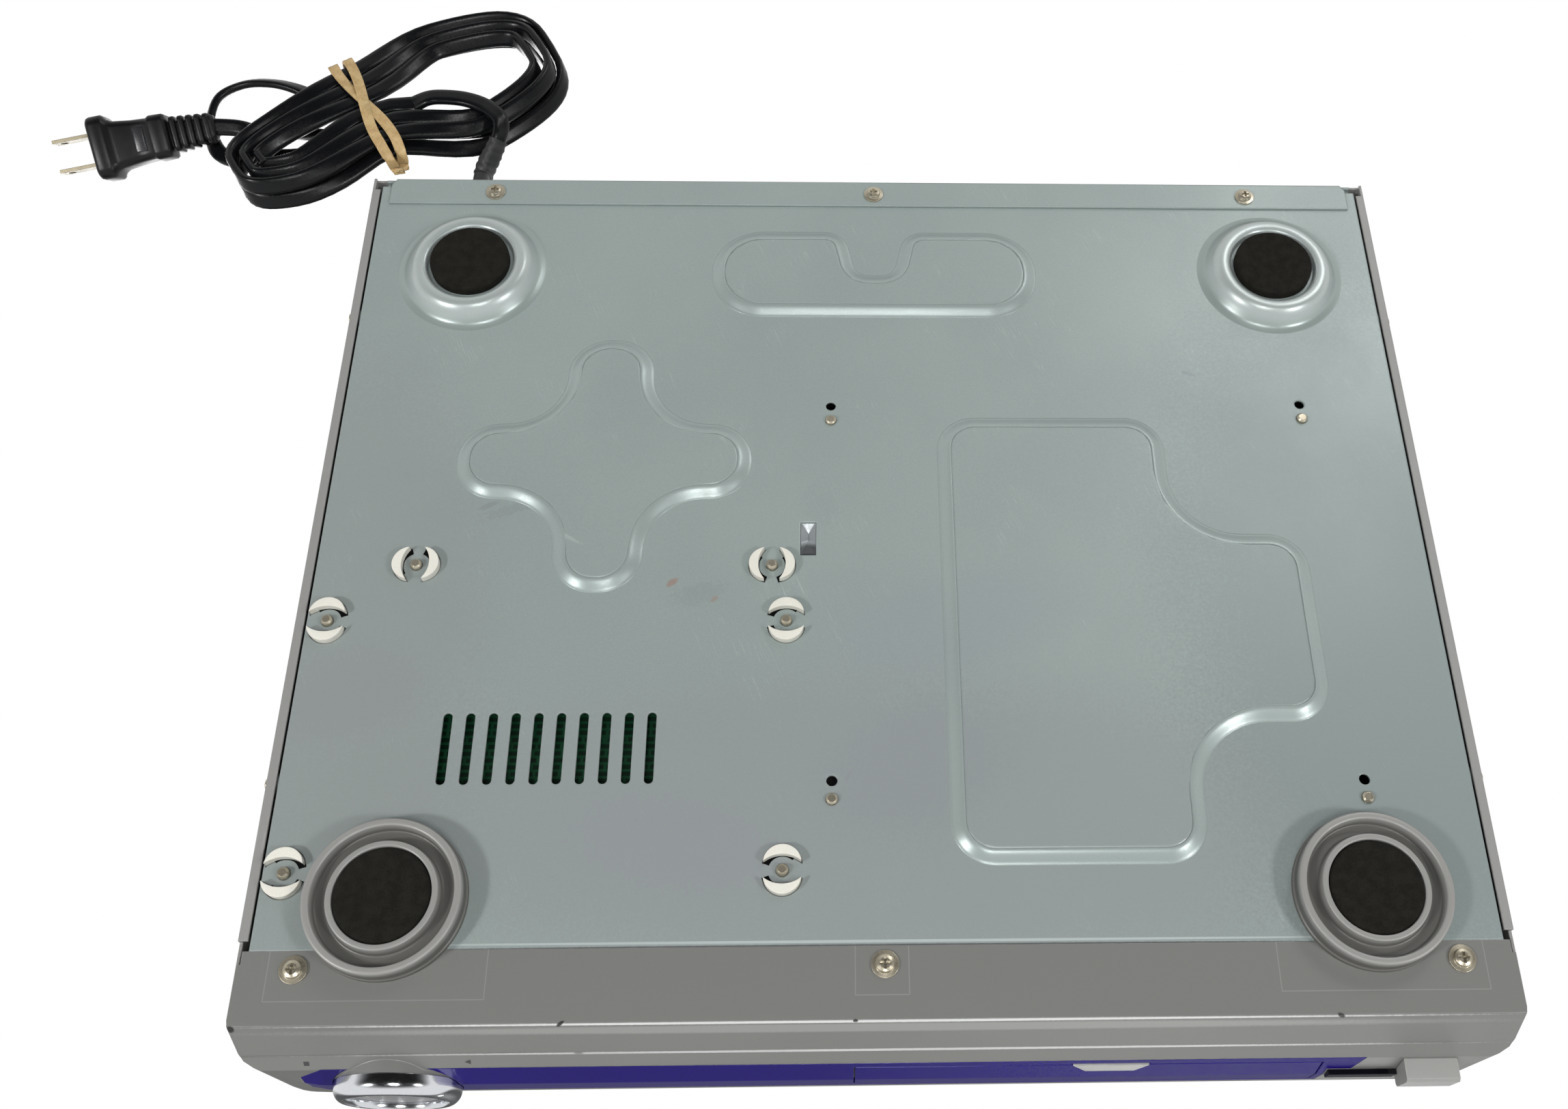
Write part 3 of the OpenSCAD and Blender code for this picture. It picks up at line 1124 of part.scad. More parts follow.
// A flat cord along a route; each ring has its width upright and turned by the point's roll
module cord_tube(route, sides, ends) {
    n = len(route);
    points = [for (i = [0 : n - 1]) let(
        t = heading_at(route, i, ends),
        side = unit(cross([0, 0, 1], t)),
        up = cross(t, side),
        roll = len(route[i]) > 3 ? route[i][3] : 0,
        w = up*cos(roll) + side*sin(roll),
        v = side*cos(roll) - up*sin(roll))
        for (k = [0 : sides - 1]) let(a = 360*(k + 0.5)/sides)
            flat3(route[i]) + w*flat_out(a)[0] + v*flat_out(a)[1]];
    skin = [for (i = [0 : n - 2]) for (k = [0 : sides - 1]) let(j = (k + 1) % sides)
        each [[i*sides + k, i*sides + j, (i + 1)*sides + k],
              [i*sides + j, (i + 1)*sides + j, (i + 1)*sides + k]]];
    polyhedron(points, concat(skin,
        [[for (k = [sides - 1 : -1 : 0]) k]], [[for (k = [0 : sides - 1]) (n - 1)*sides + k]]), convexity = 10);
}
// Outline of the cord's section: a flattened ring as wide and as thick as the cord
function flat_out(a) = [
    (cord_w/2)*sign(cos(a))*pow(abs(cos(a)), 0.5), (cord_t/2)*sign(sin(a))*pow(abs(sin(a)), 0.5)];

plug_at = [289.2, 213.4, 9];
plug_heading = -11;
plug_rise = 5;
plug_roll = 55;
plug_w = 27;
plug_t = 16;
plug_l = 30;
relief_l = 22;
blade_gap = 12.7;
blade_w = 6.35;
blade_t = 1.5;
blade_l = 17;
rubber_w = 5;
rubber_t = 0.8;
module at_plug() translate(plug_at) rotate([0, -plug_rise, plug_heading]) rotate([plug_roll - 90, 0, 0]) children();

module cord_gland() color(dark) at_plate() translate([gland_x, panel_y, gland_z]) {
    translate([-gland_w/2 + 0.2, -3, -gland_h/2 + 0.2]) cube([gland_w - 0.4, 3 + sheet_t, gland_h - 0.4]);
    translate([-gland_w/2 - 1.5, sheet_t + 0.05, -gland_h/2 - 0.8]) cube([gland_w + 3, 2, gland_h + 1.6]);
    translate([-cord_t/2 - 1.4, sheet_t, -cord_w/2 - 1]) cube([cord_t + 2.8, gland_out, cord_w + 2]);
}
last = len(hank_route) - 1;
lead_route = spline(concat(lead_points, [hank_route[0]]), 2);
tail_route = spline(concat([hank_route[last]], tail_points, [[each plug_at, 180 - plug_roll]]), 2);
entry_way = unit(flat3(hank_route[1] - hank_route[0]));
leave_way = unit(flat3(hank_route[last] - hank_route[last - 1]));
plug_way = [cos(plug_rise)*cos(plug_heading), cos(plug_rise)*sin(plug_heading), sin(plug_rise)];
module cord_lead() color("#18181a") cord_tube(lead_route, 8, [[0, 1, 0], entry_way]);
module cord_hank() color("#18181a") cord_tube(hank_route, 6, [entry_way, leave_way]);
module cord_tail() color("#18181a") cord_tube(tail_route, 8, [leave_way, plug_way]);
module plug_body() color("#18181a") at_plug() {
    for (i = [0 : 4]) translate([1 + 4.2*i, -(9 + 0.8*i)/2, -(7 + 0.7*i)/2])
        cube([2.8, 9 + 0.8*i, 7 + 0.7*i]);
    translate([0, -3.9, -2.4]) cube([relief_l, 7.8, 4.8]);
    translate([relief_l, 0, 0]) rotate([0, 90, 0]) linear_extrude(9, scale = [1.3, 1.5], slices = 1)
        square([plug_t*0.72, plug_w*0.62], center = true);
    translate([relief_l + 9, 0, 0]) rotate([0, 90, 0]) linear_extrude(plug_l - 9) offset(r = 3, $fn = 24)
        square([plug_t - 6, plug_w - 6], center = true);
}
module plug_blades() color(chrome) at_plug() for (s = [-1, 1])
    translate([relief_l + plug_l, s*blade_gap/2, 0]) difference() {
        translate([0, -blade_t/2, -blade_w/2]) cube([blade_l, blade_t, blade_w]);
        translate([blade_l - 4, -blade_t, 0]) rotate([-90, 0, 0]) cylinder(r = 1.6, h = 2*blade_t);
    }
// Rubber band round the waist of the hank, as its inner outline seen along the hank
band_inner = [
    [22.4, 1.4], [-25.2, 1.4], [-28, 2.8], [-28, 7.2], [-23.7, 12.5], [27.8, 12.5],
    [28.4, 12], [28.4, 7.6], [25.6, 2.8]
];
module rubber_band() color("#c9ab7a") translate([hank_at[0], hank_at[1], 0]) rotate(hank_heading)
    translate([waist_at - rubber_w/2, 0, 0]) rotate([90, 0, 90]) linear_extrude(rubber_w) difference() {
        offset(r = rubber_t, $fn = 16) polygon(band_inner);
        polygon(band_inner);
    }

// Least distance between points of loops that lie beside each other
function ring_points(i) = let(
    t = heading_at(hank_route, i, [entry_way, leave_way]),
    side = unit(cross([0, 0, 1], t)),
    up = cross(t, side),
    roll = hank_route[i][3])
    [for (k = [0 : 5]) let(a = 60*k + 30) flat3(hank_route[i])
        + (up*cos(roll) + side*sin(roll))*flat_out(a)[0] + (side*cos(roll) - up*sin(roll))*flat_out(a)[1]];
hank_rings = [for (i = [0 : last]) ring_points(i)];
near_pairs = [for (i = [0 : last - 8]) for (j = [i + 8 : last])
    if (norm(flat3(hank_route[i] - hank_route[j])) < 14) [i, j]];
echo(least_gap = min([for (c = near_pairs) for (u = hank_rings[c[0]]) for (v = hank_rings[c[1]]) norm(u - v)]));

bottom_plate();
rear_panel();
top_cover();
front_bezel();
display_window();
tray_door();
sensor_window();
power_button();
open_close_button();
control_ring();
control_disc();
control_carrier();
front_foot_left();
front_foot_right();
front_left_pad();
front_right_pad();
rear_left_pad();
rear_right_pad();
bezel_screws();
rear_screws();
cover_screws();
board_supports();
chassis_screws();
main_board();
transformer();
capacitors();
heat_sink();
board_chips();
jack_board();
rear_jacks();
front_board();
display_module();
push_switches();
loader_posts();
loader_frame();
disc_tray();
clamp_bridge();
disc_clamp();
traverse_frame();
turntable();
spindle_motor();
pickup_sled();
pickup_lens();
sled_rails();
feed_motor();
feed_pinion();
feed_gear();
loading_motor();
motor_pulley();
loading_belt();
loading_pulley();
tray_gear();
cord_gland();
cord_lead();
cord_hank();
cord_tail();
plug_body();
plug_blades();
rubber_band();
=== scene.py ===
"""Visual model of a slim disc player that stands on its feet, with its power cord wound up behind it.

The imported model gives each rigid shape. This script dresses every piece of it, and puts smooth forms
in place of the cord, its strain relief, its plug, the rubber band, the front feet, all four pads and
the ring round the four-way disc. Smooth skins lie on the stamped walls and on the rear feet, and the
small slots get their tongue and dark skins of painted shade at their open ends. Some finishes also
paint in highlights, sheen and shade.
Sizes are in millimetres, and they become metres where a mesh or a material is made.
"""

import logging
import math
from dataclasses import dataclass, field
from enum import Enum
from typing import Iterable, Sequence

import bmesh
import bpy
from mathutils import Matrix, Vector


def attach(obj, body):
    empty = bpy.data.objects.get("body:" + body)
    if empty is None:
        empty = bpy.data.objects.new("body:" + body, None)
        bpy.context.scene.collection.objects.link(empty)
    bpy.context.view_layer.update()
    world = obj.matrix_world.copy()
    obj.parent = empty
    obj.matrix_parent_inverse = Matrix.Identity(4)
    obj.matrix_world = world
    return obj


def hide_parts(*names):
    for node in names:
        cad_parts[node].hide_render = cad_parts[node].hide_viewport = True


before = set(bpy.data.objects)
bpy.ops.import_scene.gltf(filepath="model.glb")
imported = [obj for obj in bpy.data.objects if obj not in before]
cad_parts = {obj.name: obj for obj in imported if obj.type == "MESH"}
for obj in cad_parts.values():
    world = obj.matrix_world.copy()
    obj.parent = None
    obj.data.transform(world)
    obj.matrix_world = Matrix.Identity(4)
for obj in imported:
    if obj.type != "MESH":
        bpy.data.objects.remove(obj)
LOG = logging.getLogger("disc_player")
# One millimetre in metres.
MM = 0.001
# The seam of bezel and plate, the underside of the plate and the plate's side edge, in the shared frame.
SEAM_Y = -148.0
PLATE_Z = 8.5
EDGE_X = 211.6
# What all finishes share: the fineness of scratches, the lines pressed round screws, bumps and clear coats.
SCRATCH_SCALE = 900.0
FRAME_LINE = 0.22
FRAME_SHARE = 0.16
BUMP_STRENGTH = 0.6
COAT_ROUGHNESS = 0.06
Colour = tuple[float, float, float]
Point = tuple[float, float, float]
Pair = tuple[float, float]
Row = tuple[float, float, float, float]
Socket = bpy.types.NodeSocket
Sockets = bpy.types.bpy_prop_collection


def linear(colour: Colour) -> Row:
    """Turns a colour of 0 to 255 a channel into the linear values that a shader takes.

    Args:
        colour: red, green and blue, each from 0 to 255.

    Returns:
        Red, green, blue and an alpha of 1.
    """
    parts = [c / 255 for c in colour]
    made = [p / 12.92 if p <= 0.04045 else ((p + 0.055) / 1.055) ** 2.4 for p in parts]
    return (made[0], made[1], made[2], 1.0)


def on_player(x: float, y: float, z: float) -> Vector:
    """A point measured from the seam and the underside of the bottom plate.

    Args:
        x: millimetres to the right of the middle, seen from the front.
        y: millimetres behind the seam of bezel and plate.
        z: millimetres above the underside of the plate.

    Returns:
        The same point in metres, in the shared frame.
    """
    return Vector((x, y + SEAM_Y, z + PLATE_Z)) * MM


class Wiring:
    """Adds nodes to one node tree and joins them."""

    def __init__(self, tree: bpy.types.NodeTree) -> None:
        """Keeps the tree.

        Args:
            tree: the node tree that is built.
        """
        self.tree = tree

    def add(self, kind: str, **settings: object) -> bpy.types.Node:
        """Adds a node and sets its properties.

        Args:
            kind: the node's type name, without the ShaderNode before it.
            settings: properties of the node by name.

        Returns:
            The new node.
        """
        node = self.tree.nodes.new(kind if kind.startswith("Node") else "ShaderNode" + kind)
        for name, value in settings.items():
            setattr(node, name, value)
        return node

    def join(self, start: Socket, end: Socket) -> None:
        """Joins an output to an input."""
        self.tree.links.new(start, end)

    def feed(self, socket: Socket, value: object) -> None:
        """Gives a socket its value, from another socket or as it is.

        Args:
            socket: the input.
            value: an output to join, or a plain value.
        """
        if isinstance(value, Socket):
            self.join(value, socket)
        else:
            socket.default_value = value

    def maths(self, operation: str, a: object, b: object = 0.0, c: object = 0.0) -> Socket:
        """Works out one step of arithmetic.

        Args:
            operation: the Math node's operation.
            a: the first value or socket.
            b: the second value or socket.
            c: the third value or socket.

        Returns:
            The output of the Math node.
        """
        node = self.add("Math", operation=operation)
        for socket, value in zip(node.inputs, (a, b, c)):
            self.feed(socket, value)
        return node.outputs[0]

    def vector(self, operation: str, a: object, b: object = (0.0, 0.0, 0.0)) -> Socket:
        """Works out one step of arithmetic with vectors.

        Args:
            operation: the Vector Math node's operation.
            a: the first vector or socket.
            b: the second vector or socket.

        Returns:
            The resulting vector, or the number where the operation gives one.
        """
        node = self.add("VectorMath", operation=operation)
        self.feed(node.inputs[0], a)
        self.feed(node.inputs[1], b)
        return node.outputs["Value" if operation in ("DOT_PRODUCT", "LENGTH") else "Vector"]

    def here(self) -> Socket:
        """The place on the object, in metres."""
        return self.add("TexCoord").outputs["Object"]

    def turned(self, vector: Socket, angle: Socket) -> Socket:
        """A vector turned round the upright axis."""
        node = self.add("VectorRotate", rotation_type="Z_AXIS")
        self.join(vector, node.inputs["Vector"])
        self.join(angle, node.inputs["Angle"])
        return node.outputs[0]

    def span(
        self, value: object, low: float, high: float, to_low: object = 0.0, to_high: object = 1.0,
    ) -> Socket:
        """Maps a value from one span to another and clamps it.

        Args:
            value: the value or socket.
            low: the value that gives to_low.
            high: the value that gives to_high.
            to_low: the result at low.
            to_high: the result at high.

        Returns:
            The output of the Map Range node.
        """
        node = self.add("MapRange", interpolation_type="SMOOTHSTEP")
        names = ("Value", "From Min", "From Max", "To Min", "To Max")
        for name, given in zip(names, (value, low, high, to_low, to_high)):
            self.feed(node.inputs[name], given)
        return node.outputs["Result"]

    def blend(self, share: object, a: object, b: object) -> Socket:
        """Mixes two colours.

        Args:
            share: how much of b, from 0 to 1.
            a: the first colour or socket.
            b: the second colour or socket.

        Returns:
            The mixed colour.
        """
        node = self.add("Mix", data_type="RGBA")
        for socket, value in zip((node.inputs[0], node.inputs[6], node.inputs[7]), (share, a, b)):
            self.feed(socket, value)
        return node.outputs[2]

    def noise(self, vector: Socket, scale: object, detail: float = 2.0, rough: float = 0.5) -> Socket:
        """Adds a noise texture.

        Args:
            vector: the coordinates.
            scale: features per metre.
            detail: octaves of the noise.
            rough: strength of the finer octaves.

        Returns:
            The noise's factor.
        """
        node = self.add("TexNoise")
        self.join(vector, node.inputs["Vector"])
        self.feed(node.inputs["Scale"], scale)
        node.inputs["Detail"].default_value = detail
        node.inputs["Roughness"].default_value = rough
        return node.outputs["Fac"]


class Effect(Enum):
    """Shader groups that several finishes share."""

    GRAIN = "Surface grain"
    EDGES = "Softened edges"
    SCRATCHES = "Fine scratches"
    BLEMISH = "Blemish"
    RULED = "Ruled frame"
    TRACKS = "Copper tracks"


SOCKETS = {"F": "NodeSocketFloat", "C": "NodeSocketColor", "V": "NodeSocketVector"}
PORTS: dict[Effect, tuple[str, str]] = {
    Effect.GRAIN: ("C:Tint C:Shade F:Fine F:Broad F:Mottle F:Smooth F:Rough", "C:Color F:Roughness F:Height"),
    Effect.EDGES: ("F:Radius F:Wear", "V:Normal F:Mask"),
    Effect.SCRATCHES: ("F:Scale F:Turn F:Amount", "F:Mask"),
    Effect.BLEMISH: ("V:Centre V:Reach F:Turn F:Ragged", "F:Mask"),
    Effect.RULED: ("V:Centre V:Half F:Line", "F:Mask"),
    Effect.TRACKS: ("C:Board C:Track F:Scale", "C:Color F:Height"),
}


class Effects:
    """Builds each shader group once and places it in materials."""

    def __init__(self) -> None:
        """Builds all the groups."""
        self.trees: dict[Effect, bpy.types.NodeTree] = {}
        for effect in Effect:
            tree = bpy.data.node_groups.new(effect.value, "ShaderNodeTree")
            for way, ports in zip(("INPUT", "OUTPUT"), PORTS[effect]):
                for port in ports.split():
                    kind, name = port.split(":")
                    tree.interface.new_socket(name=name, in_out=way, socket_type=SOCKETS[kind])
            wiring = Wiring(tree)
            given, made = wiring.add("NodeGroupInput"), wiring.add("NodeGroupOutput")
            getattr(self, effect.name.lower())(wiring, given.outputs, made.inputs)
            self.trees[effect] = tree

    def place(self, wiring: Wiring, effect: Effect, **values: object) -> Sockets:
        """Places a group in a material's tree.

        Args:
            wiring: the material's wiring.
            effect: the group.
            values: its inputs by name.

        Returns:
            The outputs of the placed group.
        """
        node = wiring.add("Group", node_tree=self.trees[effect], label=effect.value)
        for name, value in values.items():
            wiring.feed(node.inputs[name], value)
        return node.outputs

    @staticmethod
    def grain(w: Wiring, given: Sockets, made: Sockets) -> None:
        """Fine grain with broad mottling, in two colours."""
        here = w.here()
        fine = w.noise(here, given["Fine"], 3.0, 0.6)
        broad = w.noise(here, given["Broad"], 4.0)
        share = w.maths("ADD", w.span(fine, 0.3, 0.7, 0.0, 0.45), w.span(broad, 0.34, 0.66, 0.0, 0.55))
        share = w.maths("MULTIPLY", share, given["Mottle"])
        w.join(w.blend(share, given["Tint"], given["Shade"]), made["Color"])
        mixed = w.maths("MULTIPLY_ADD", broad, 0.4, w.maths("MULTIPLY", fine, 0.6))
        w.join(w.span(mixed, 0.36, 0.64, given["Smooth"], given["Rough"]), made["Roughness"])
        w.join(fine, made["Height"])

    @staticmethod
    def edges(w: Wiring, given: Sockets, made: Sockets) -> None:
        """Normals that are rounded at edges, and a mask of the worn edges."""
        bevel = w.add("Bevel", samples=6)
        w.join(given["Radius"], bevel.inputs["Radius"])
        turn = w.vector("DOT_PRODUCT", bevel.outputs["Normal"], w.add("NewGeometry").outputs["Normal"])
        edge = w.span(w.maths("SUBTRACT", 1.0, turn), 0.02, 0.2)
        patch = w.span(w.noise(w.here(), 260.0, 3.0), 0.42, 0.62, 0.25, 1.0)
        w.join(bevel.outputs["Normal"], made["Normal"])
        w.join(w.maths("MULTIPLY", w.maths("MULTIPLY", edge, patch), given["Wear"]), made["Mask"])

    @staticmethod
    def scratches(w: Wiring, given: Sockets, made: Sockets) -> None:
        """Thin drawn lines in one direction, broken up along their length."""
        turned = w.turned(w.here(), given["Turn"])
        lines = w.noise(w.vector("MULTIPLY", turned, (1.0, 0.03, 0.4)), given["Scale"], 1.0)
        thin = w.span(w.maths("ABSOLUTE", w.maths("SUBTRACT", lines, 0.5)), 0.0, 0.012, 1.0, 0.0)
        broken = w.span(w.noise(turned, 45.0, 2.0), 0.56, 0.66)
        w.join(w.maths("MULTIPLY", w.maths("MULTIPLY", thin, broken), given["Amount"]), made["Mask"])

    @staticmethod
    def blemish(w: Wiring, given: Sockets, made: Sockets) -> None:
        """One ragged oval mark at a place on the surface; the marks are stains and chips, and also painted
        highlights and painted shade.
        """
        here = w.here()
        turned = w.turned(w.vector("SUBTRACT", here, given["Centre"]), given["Turn"])
        length = w.vector("LENGTH", w.vector("DIVIDE", turned, given["Reach"]))
        uneven = w.maths("MULTIPLY", w.maths("SUBTRACT", w.noise(here, 900.0, 3.0), 0.5), given["Ragged"])
        w.join(w.span(w.maths("ADD", length, uneven), 0.55, 1.0, 1.0, 0.0), made["Mask"])

    @staticmethod
    def ruled(w: Wiring, given: Sockets, made: Sockets) -> None:
        """The outline of an upright rectangle, seen from above or below."""
        size = w.vector("ABSOLUTE", w.vector("SUBTRACT", w.here(), given["Centre"]))
        axes = w.add("SeparateXYZ")
        w.join(w.vector("SUBTRACT", size, given["Half"]), axes.inputs[0])
        off = w.maths("ABSOLUTE", w.maths("MAXIMUM", axes.outputs[0], axes.outputs[1]))
        w.join(w.span(w.maths("DIVIDE", off, given["Line"]), 0.5, 1.0, 1.0, 0.0), made["Mask"])

    @staticmethod
    def tracks(w: Wiring, given: Sockets, made: Sockets) -> None:
        """Printed tracks and pads on a circuit board."""
        here = w.here()
        brick = w.add("TexBrick", offset=0.37, offset_frequency=3, squash=1.7, squash_frequency=4)
        w.join(here, brick.inputs["Vector"])
        w.join(given["Scale"], brick.inputs["Scale"])
        w.join(given["Board"], brick.inputs["Color1"])
        w.join(given["Board"], brick.inputs["Color2"])
        w.join(given["Track"], brick.inputs["Mortar"])
        brick.inputs["Mortar Size"].default_value = 0.05
        dots = w.add("TexVoronoi")
        w.join(here, dots.inputs["Vector"])
        w.join(given["Scale"], dots.inputs["Scale"])
        pad = w.span(dots.outputs["Distance"], 0.1, 0.14, 1.0, 0.0)
        w.join(w.blend(pad, brick.outputs["Color"], given["Track"]), made["Color"])
        w.join(w.maths("MAXIMUM", brick.outputs["Fac"], pad), made["Height"])


@dataclass(frozen=True)
class Mark:
    """A mark on a surface, such as a stain, a chip, a painted highlight or painted shade: where it is, how
    far it reaches, and what it looks like.
    """

    centre: Point
    reach: Point
    turn: float
    colour: Colour
    strength: float = 0.7
    ragged: float = 0.8


@dataclass(frozen=True)
class Finish:
    """How one surface looks: its colours, its gloss, its grain and its wear."""

    name: str
    tint: Colour
    shade: Colour
    smooth: float
    rough: float
    metal: float = 0.0
    mottle: float = 0.6
    fine: float = 2200.0
    broad: float = 22.0
    depth: float = 0.02
    coat: float = 0.0
    gloss: float = 0.5
    rounding: float = 0.35
    wear: float = 0.0
    worn: Colour = (214, 214, 210)
    lines: float = 0.0
    lines_turn: float = 0.0
    marks: tuple[Mark, ...] = ()
    frames: tuple[tuple[Point, Point], ...] = ()

    def build(self, effects: Effects) -> bpy.types.Material:
        """Builds the material.

        Args:
            effects: the shader groups.

        Returns:
            The material.
        """
        material = bpy.data.materials.new(self.name)
        material.use_nodes = True
        w = Wiring(material.node_tree)
        shader = material.node_tree.nodes["Principled BSDF"]
        grain = effects.place(
            w, Effect.GRAIN, Tint=linear(self.tint), Shade=linear(self.shade), Fine=self.fine,
            Broad=self.broad, Mottle=self.mottle, Smooth=self.smooth, Rough=self.rough,
        )
        edges = effects.place(w, Effect.EDGES, Radius=self.rounding * MM, Wear=self.wear)
        colour, roughness, height = grain["Color"], grain["Roughness"], grain["Height"]
        if self.wear:
            colour = w.blend(edges["Mask"], colour, linear(self.worn))
        if self.lines:
            drawn = effects.place(
                w, Effect.SCRATCHES, Scale=SCRATCH_SCALE, Turn=self.lines_turn, Amount=self.lines,
            )
            colour = w.blend(drawn["Mask"], colour, linear(self.worn))
            height = w.maths("SUBTRACT", height, drawn["Mask"])
        for centre, half in self.frames:
            ruled = effects.place(
                w, Effect.RULED, Centre=on_player(*centre), Half=Vector(half) * MM, Line=FRAME_LINE * MM,
            )
            colour = w.blend(w.maths("MULTIPLY", ruled["Mask"], FRAME_SHARE), colour, linear(self.worn))
            height = w.maths("SUBTRACT", height, ruled["Mask"])
        # Marks: stains and chips, and also painted highlights and painted shade.
        for mark in self.marks:
            spot = effects.place(
                w, Effect.BLEMISH, Centre=on_player(*mark.centre), Reach=Vector(mark.reach) * MM,
                Turn=math.radians(mark.turn), Ragged=mark.ragged,
            )
            colour = w.blend(w.maths("MULTIPLY", spot["Mask"], mark.strength), colour, linear(mark.colour))
        w.join(colour, shader.inputs["Base Color"])
        w.join(roughness, shader.inputs["Roughness"])
        bump = w.add("Bump")
        bump.inputs["Strength"].default_value = BUMP_STRENGTH
        bump.inputs["Distance"].default_value = self.depth * MM
        w.join(height, bump.inputs["Height"])
        w.join(edges["Normal"], bump.inputs["Normal"])
        w.join(bump.outputs["Normal"], shader.inputs["Normal"])
        shader.inputs["Metallic"].default_value = self.metal
        shader.inputs["Specular IOR Level"].default_value = self.gloss
        if self.coat:
            shader.inputs["Coat Weight"].default_value = self.coat
            shader.inputs["Coat Roughness"].default_value = COAT_ROUGHNESS
        self.refine(w, shader, effects)
        return material

    def refine(self, w: Wiring, shader: bpy.types.Node, effects: Effects) -> None:
        """Adds what only this finish has; a plain finish adds nothing."""


@dataclass(frozen=True)
class TintedFinish(Finish):
    """Tinted clear plastic, deep in the middle, with a painted sheen that makes it paler where it is seen
    from the side.
    """

    # The colour of the painted sheen at grazing views.
    rim: Colour = (66, 48, 150)

    def refine(self, w: Wiring, shader: bpy.types.Node, effects: Effects) -> None:
        """Paints a sheen: the colour grows paler towards grazing views."""
        facing = w.add("LayerWeight")
        facing.inputs["Blend"].default_value = 0.3
        deep = shader.inputs["Base Color"].links[0].from_socket
        share = w.span(facing.outputs["Facing"], 0.35, 1.0, 0.0, 0.55)
        w.join(w.blend(share, deep, linear(self.rim)), shader.inputs["Base Color"])


@dataclass(frozen=True)
class BoardFinish(Finish):
    """Solder mask over printed tracks."""

    track: Colour = (24, 80, 50)
    pitch: float = 95.0

    def refine(self, w: Wiring, shader: bpy.types.Node, effects: Effects) -> None:
        """Draws the tracks and pads."""
        board, track = linear(self.tint), linear(self.track)
        tracks = effects.place(w, Effect.TRACKS, Board=board, Track=track, Scale=self.pitch)
        w.join(tracks["Color"], shader.inputs["Base Color"])


@dataclass(frozen=True)
class HollowFinish(Finish):
    """Paint with painted shade, which grows dark where the surface lies deeper above the floor."""

    deep: Colour = (82, 81, 77)
    span: Pair = (1.4, 4.4)
    share: float = 0.85

    def refine(self, w: Wiring, shader: bpy.types.Node, effects: Effects) -> None:
        """Paints shade into the deep places."""
        axes = w.add("SeparateXYZ")
        w.join(w.here(), axes.inputs[0])
        low, high = self.span
        share = w.span(axes.outputs[2], low * MM, high * MM, 0.0, self.share)
        plain = shader.inputs["Base Color"].links[0].from_socket
        w.join(w.blend(share, plain, linear(self.deep)), shader.inputs["Base Color"])


@dataclass(frozen=True)
class SoftFinish(Finish):
    """Rubber or pale nylon, which lets a little light in under its surface."""

    under: float = 0.1
    radius: float = 1.0

    def refine(self, w: Wiring, shader: bpy.types.Node, effects: Effects) -> None:
        """Sets how the light spreads under the surface."""
        shader.inputs["Subsurface Weight"].default_value = self.under
        shader.inputs["Subsurface Radius"].default_value = (1.0, 0.6, 0.4)
        shader.inputs["Subsurface Scale"].default_value = self.radius * MM


PLATE = Finish(
    "Plate steel", (150, 161, 158), (138, 149, 147), 0.32, 0.44, metal=0.15, mottle=0.8, fine=1500.0,
    broad=11.0, depth=0.012, rounding=1.0, lines=0.25, lines_turn=0.4, wear=0.12, worn=(196, 202, 200),
    marks=(
        Mark((150, 170, 0), (5.0, 1.4, 8), 25, (122, 128, 128), 0.5),
        Mark((118, 155, 0), (7.0, 1.0, 8), -30, (176, 182, 180), 0.45),
        Mark((78, 137, 0), (3.4, 1.5, 8), 35, (148, 112, 96), 0.6),
        Mark((62, 130, 0), (2.2, 1.2, 8), 50, (150, 120, 104), 0.5),
        Mark((68, 132, 0), (12.0, 5.0, 8), 12, (118, 128, 128), 0.2, 2.2),
        Mark((142, 168, 0), (13.0, 2.6, 8), 20, (120, 128, 129), 0.28, 2.4),
        Mark((22, 170, 0), (8.0, 12.0, 8), 0, (124, 134, 134), 0.12, 2.4),
        Mark((-30, 120, 0), (60.0, 26.0, 8), 15, (142, 148, 152), 0.35, 1.2),
        Mark((-128, 232, 0), (4.4, 1.0, 8), -20, (120, 128, 130), 0.4),
        Mark((12, 60, 0), (2.6, 0.9, 8), 70, (124, 130, 130), 0.45),
        # A broad zone, darker and greyer towards the front.
        Mark((0, 45, 0), (240, 70, 8), 0, (140, 145, 145), 0.5, 0.6),
        Mark((192, 92, 0), (34, 24, 8), 10, (143, 144, 149), 0.5, 1.4),
        Mark((72, 36, 0), (44, 20, 8), -10, (143, 144, 149), 0.5, 1.4),
        Mark((-14, 64, 0), (46, 30, 8), 20, (139, 143, 146), 0.45, 1.4),
        # Zones darker and greyer towards both sides.
        Mark((-196, 130, 0), (110, 190, 8), 0, (126, 137, 135), 0.55, 0.6),
        Mark((206, 110, 0), (80, 170, 8), 0, (138, 143, 142), 0.45, 0.6),
        # A painted highlight along the plate's edge by the seam, then the dark line of the joint.
        Mark((0, 1.5, 0), (216, 0.6, 2), 0, (196, 206, 204), 0.6, 0.2),
        Mark((0, -0.1, 0), (216, 0.8, 2), 0, (52, 54, 54), 0.85, 0.2),
    ),
)
WALL = Finish(
    "Stamped wall steel", (155, 166, 163), (143, 154, 152), 0.3, 0.38, metal=0.26, mottle=0.8, fine=1500.0,
    broad=11.0, depth=0.003, rounding=1.0,
)
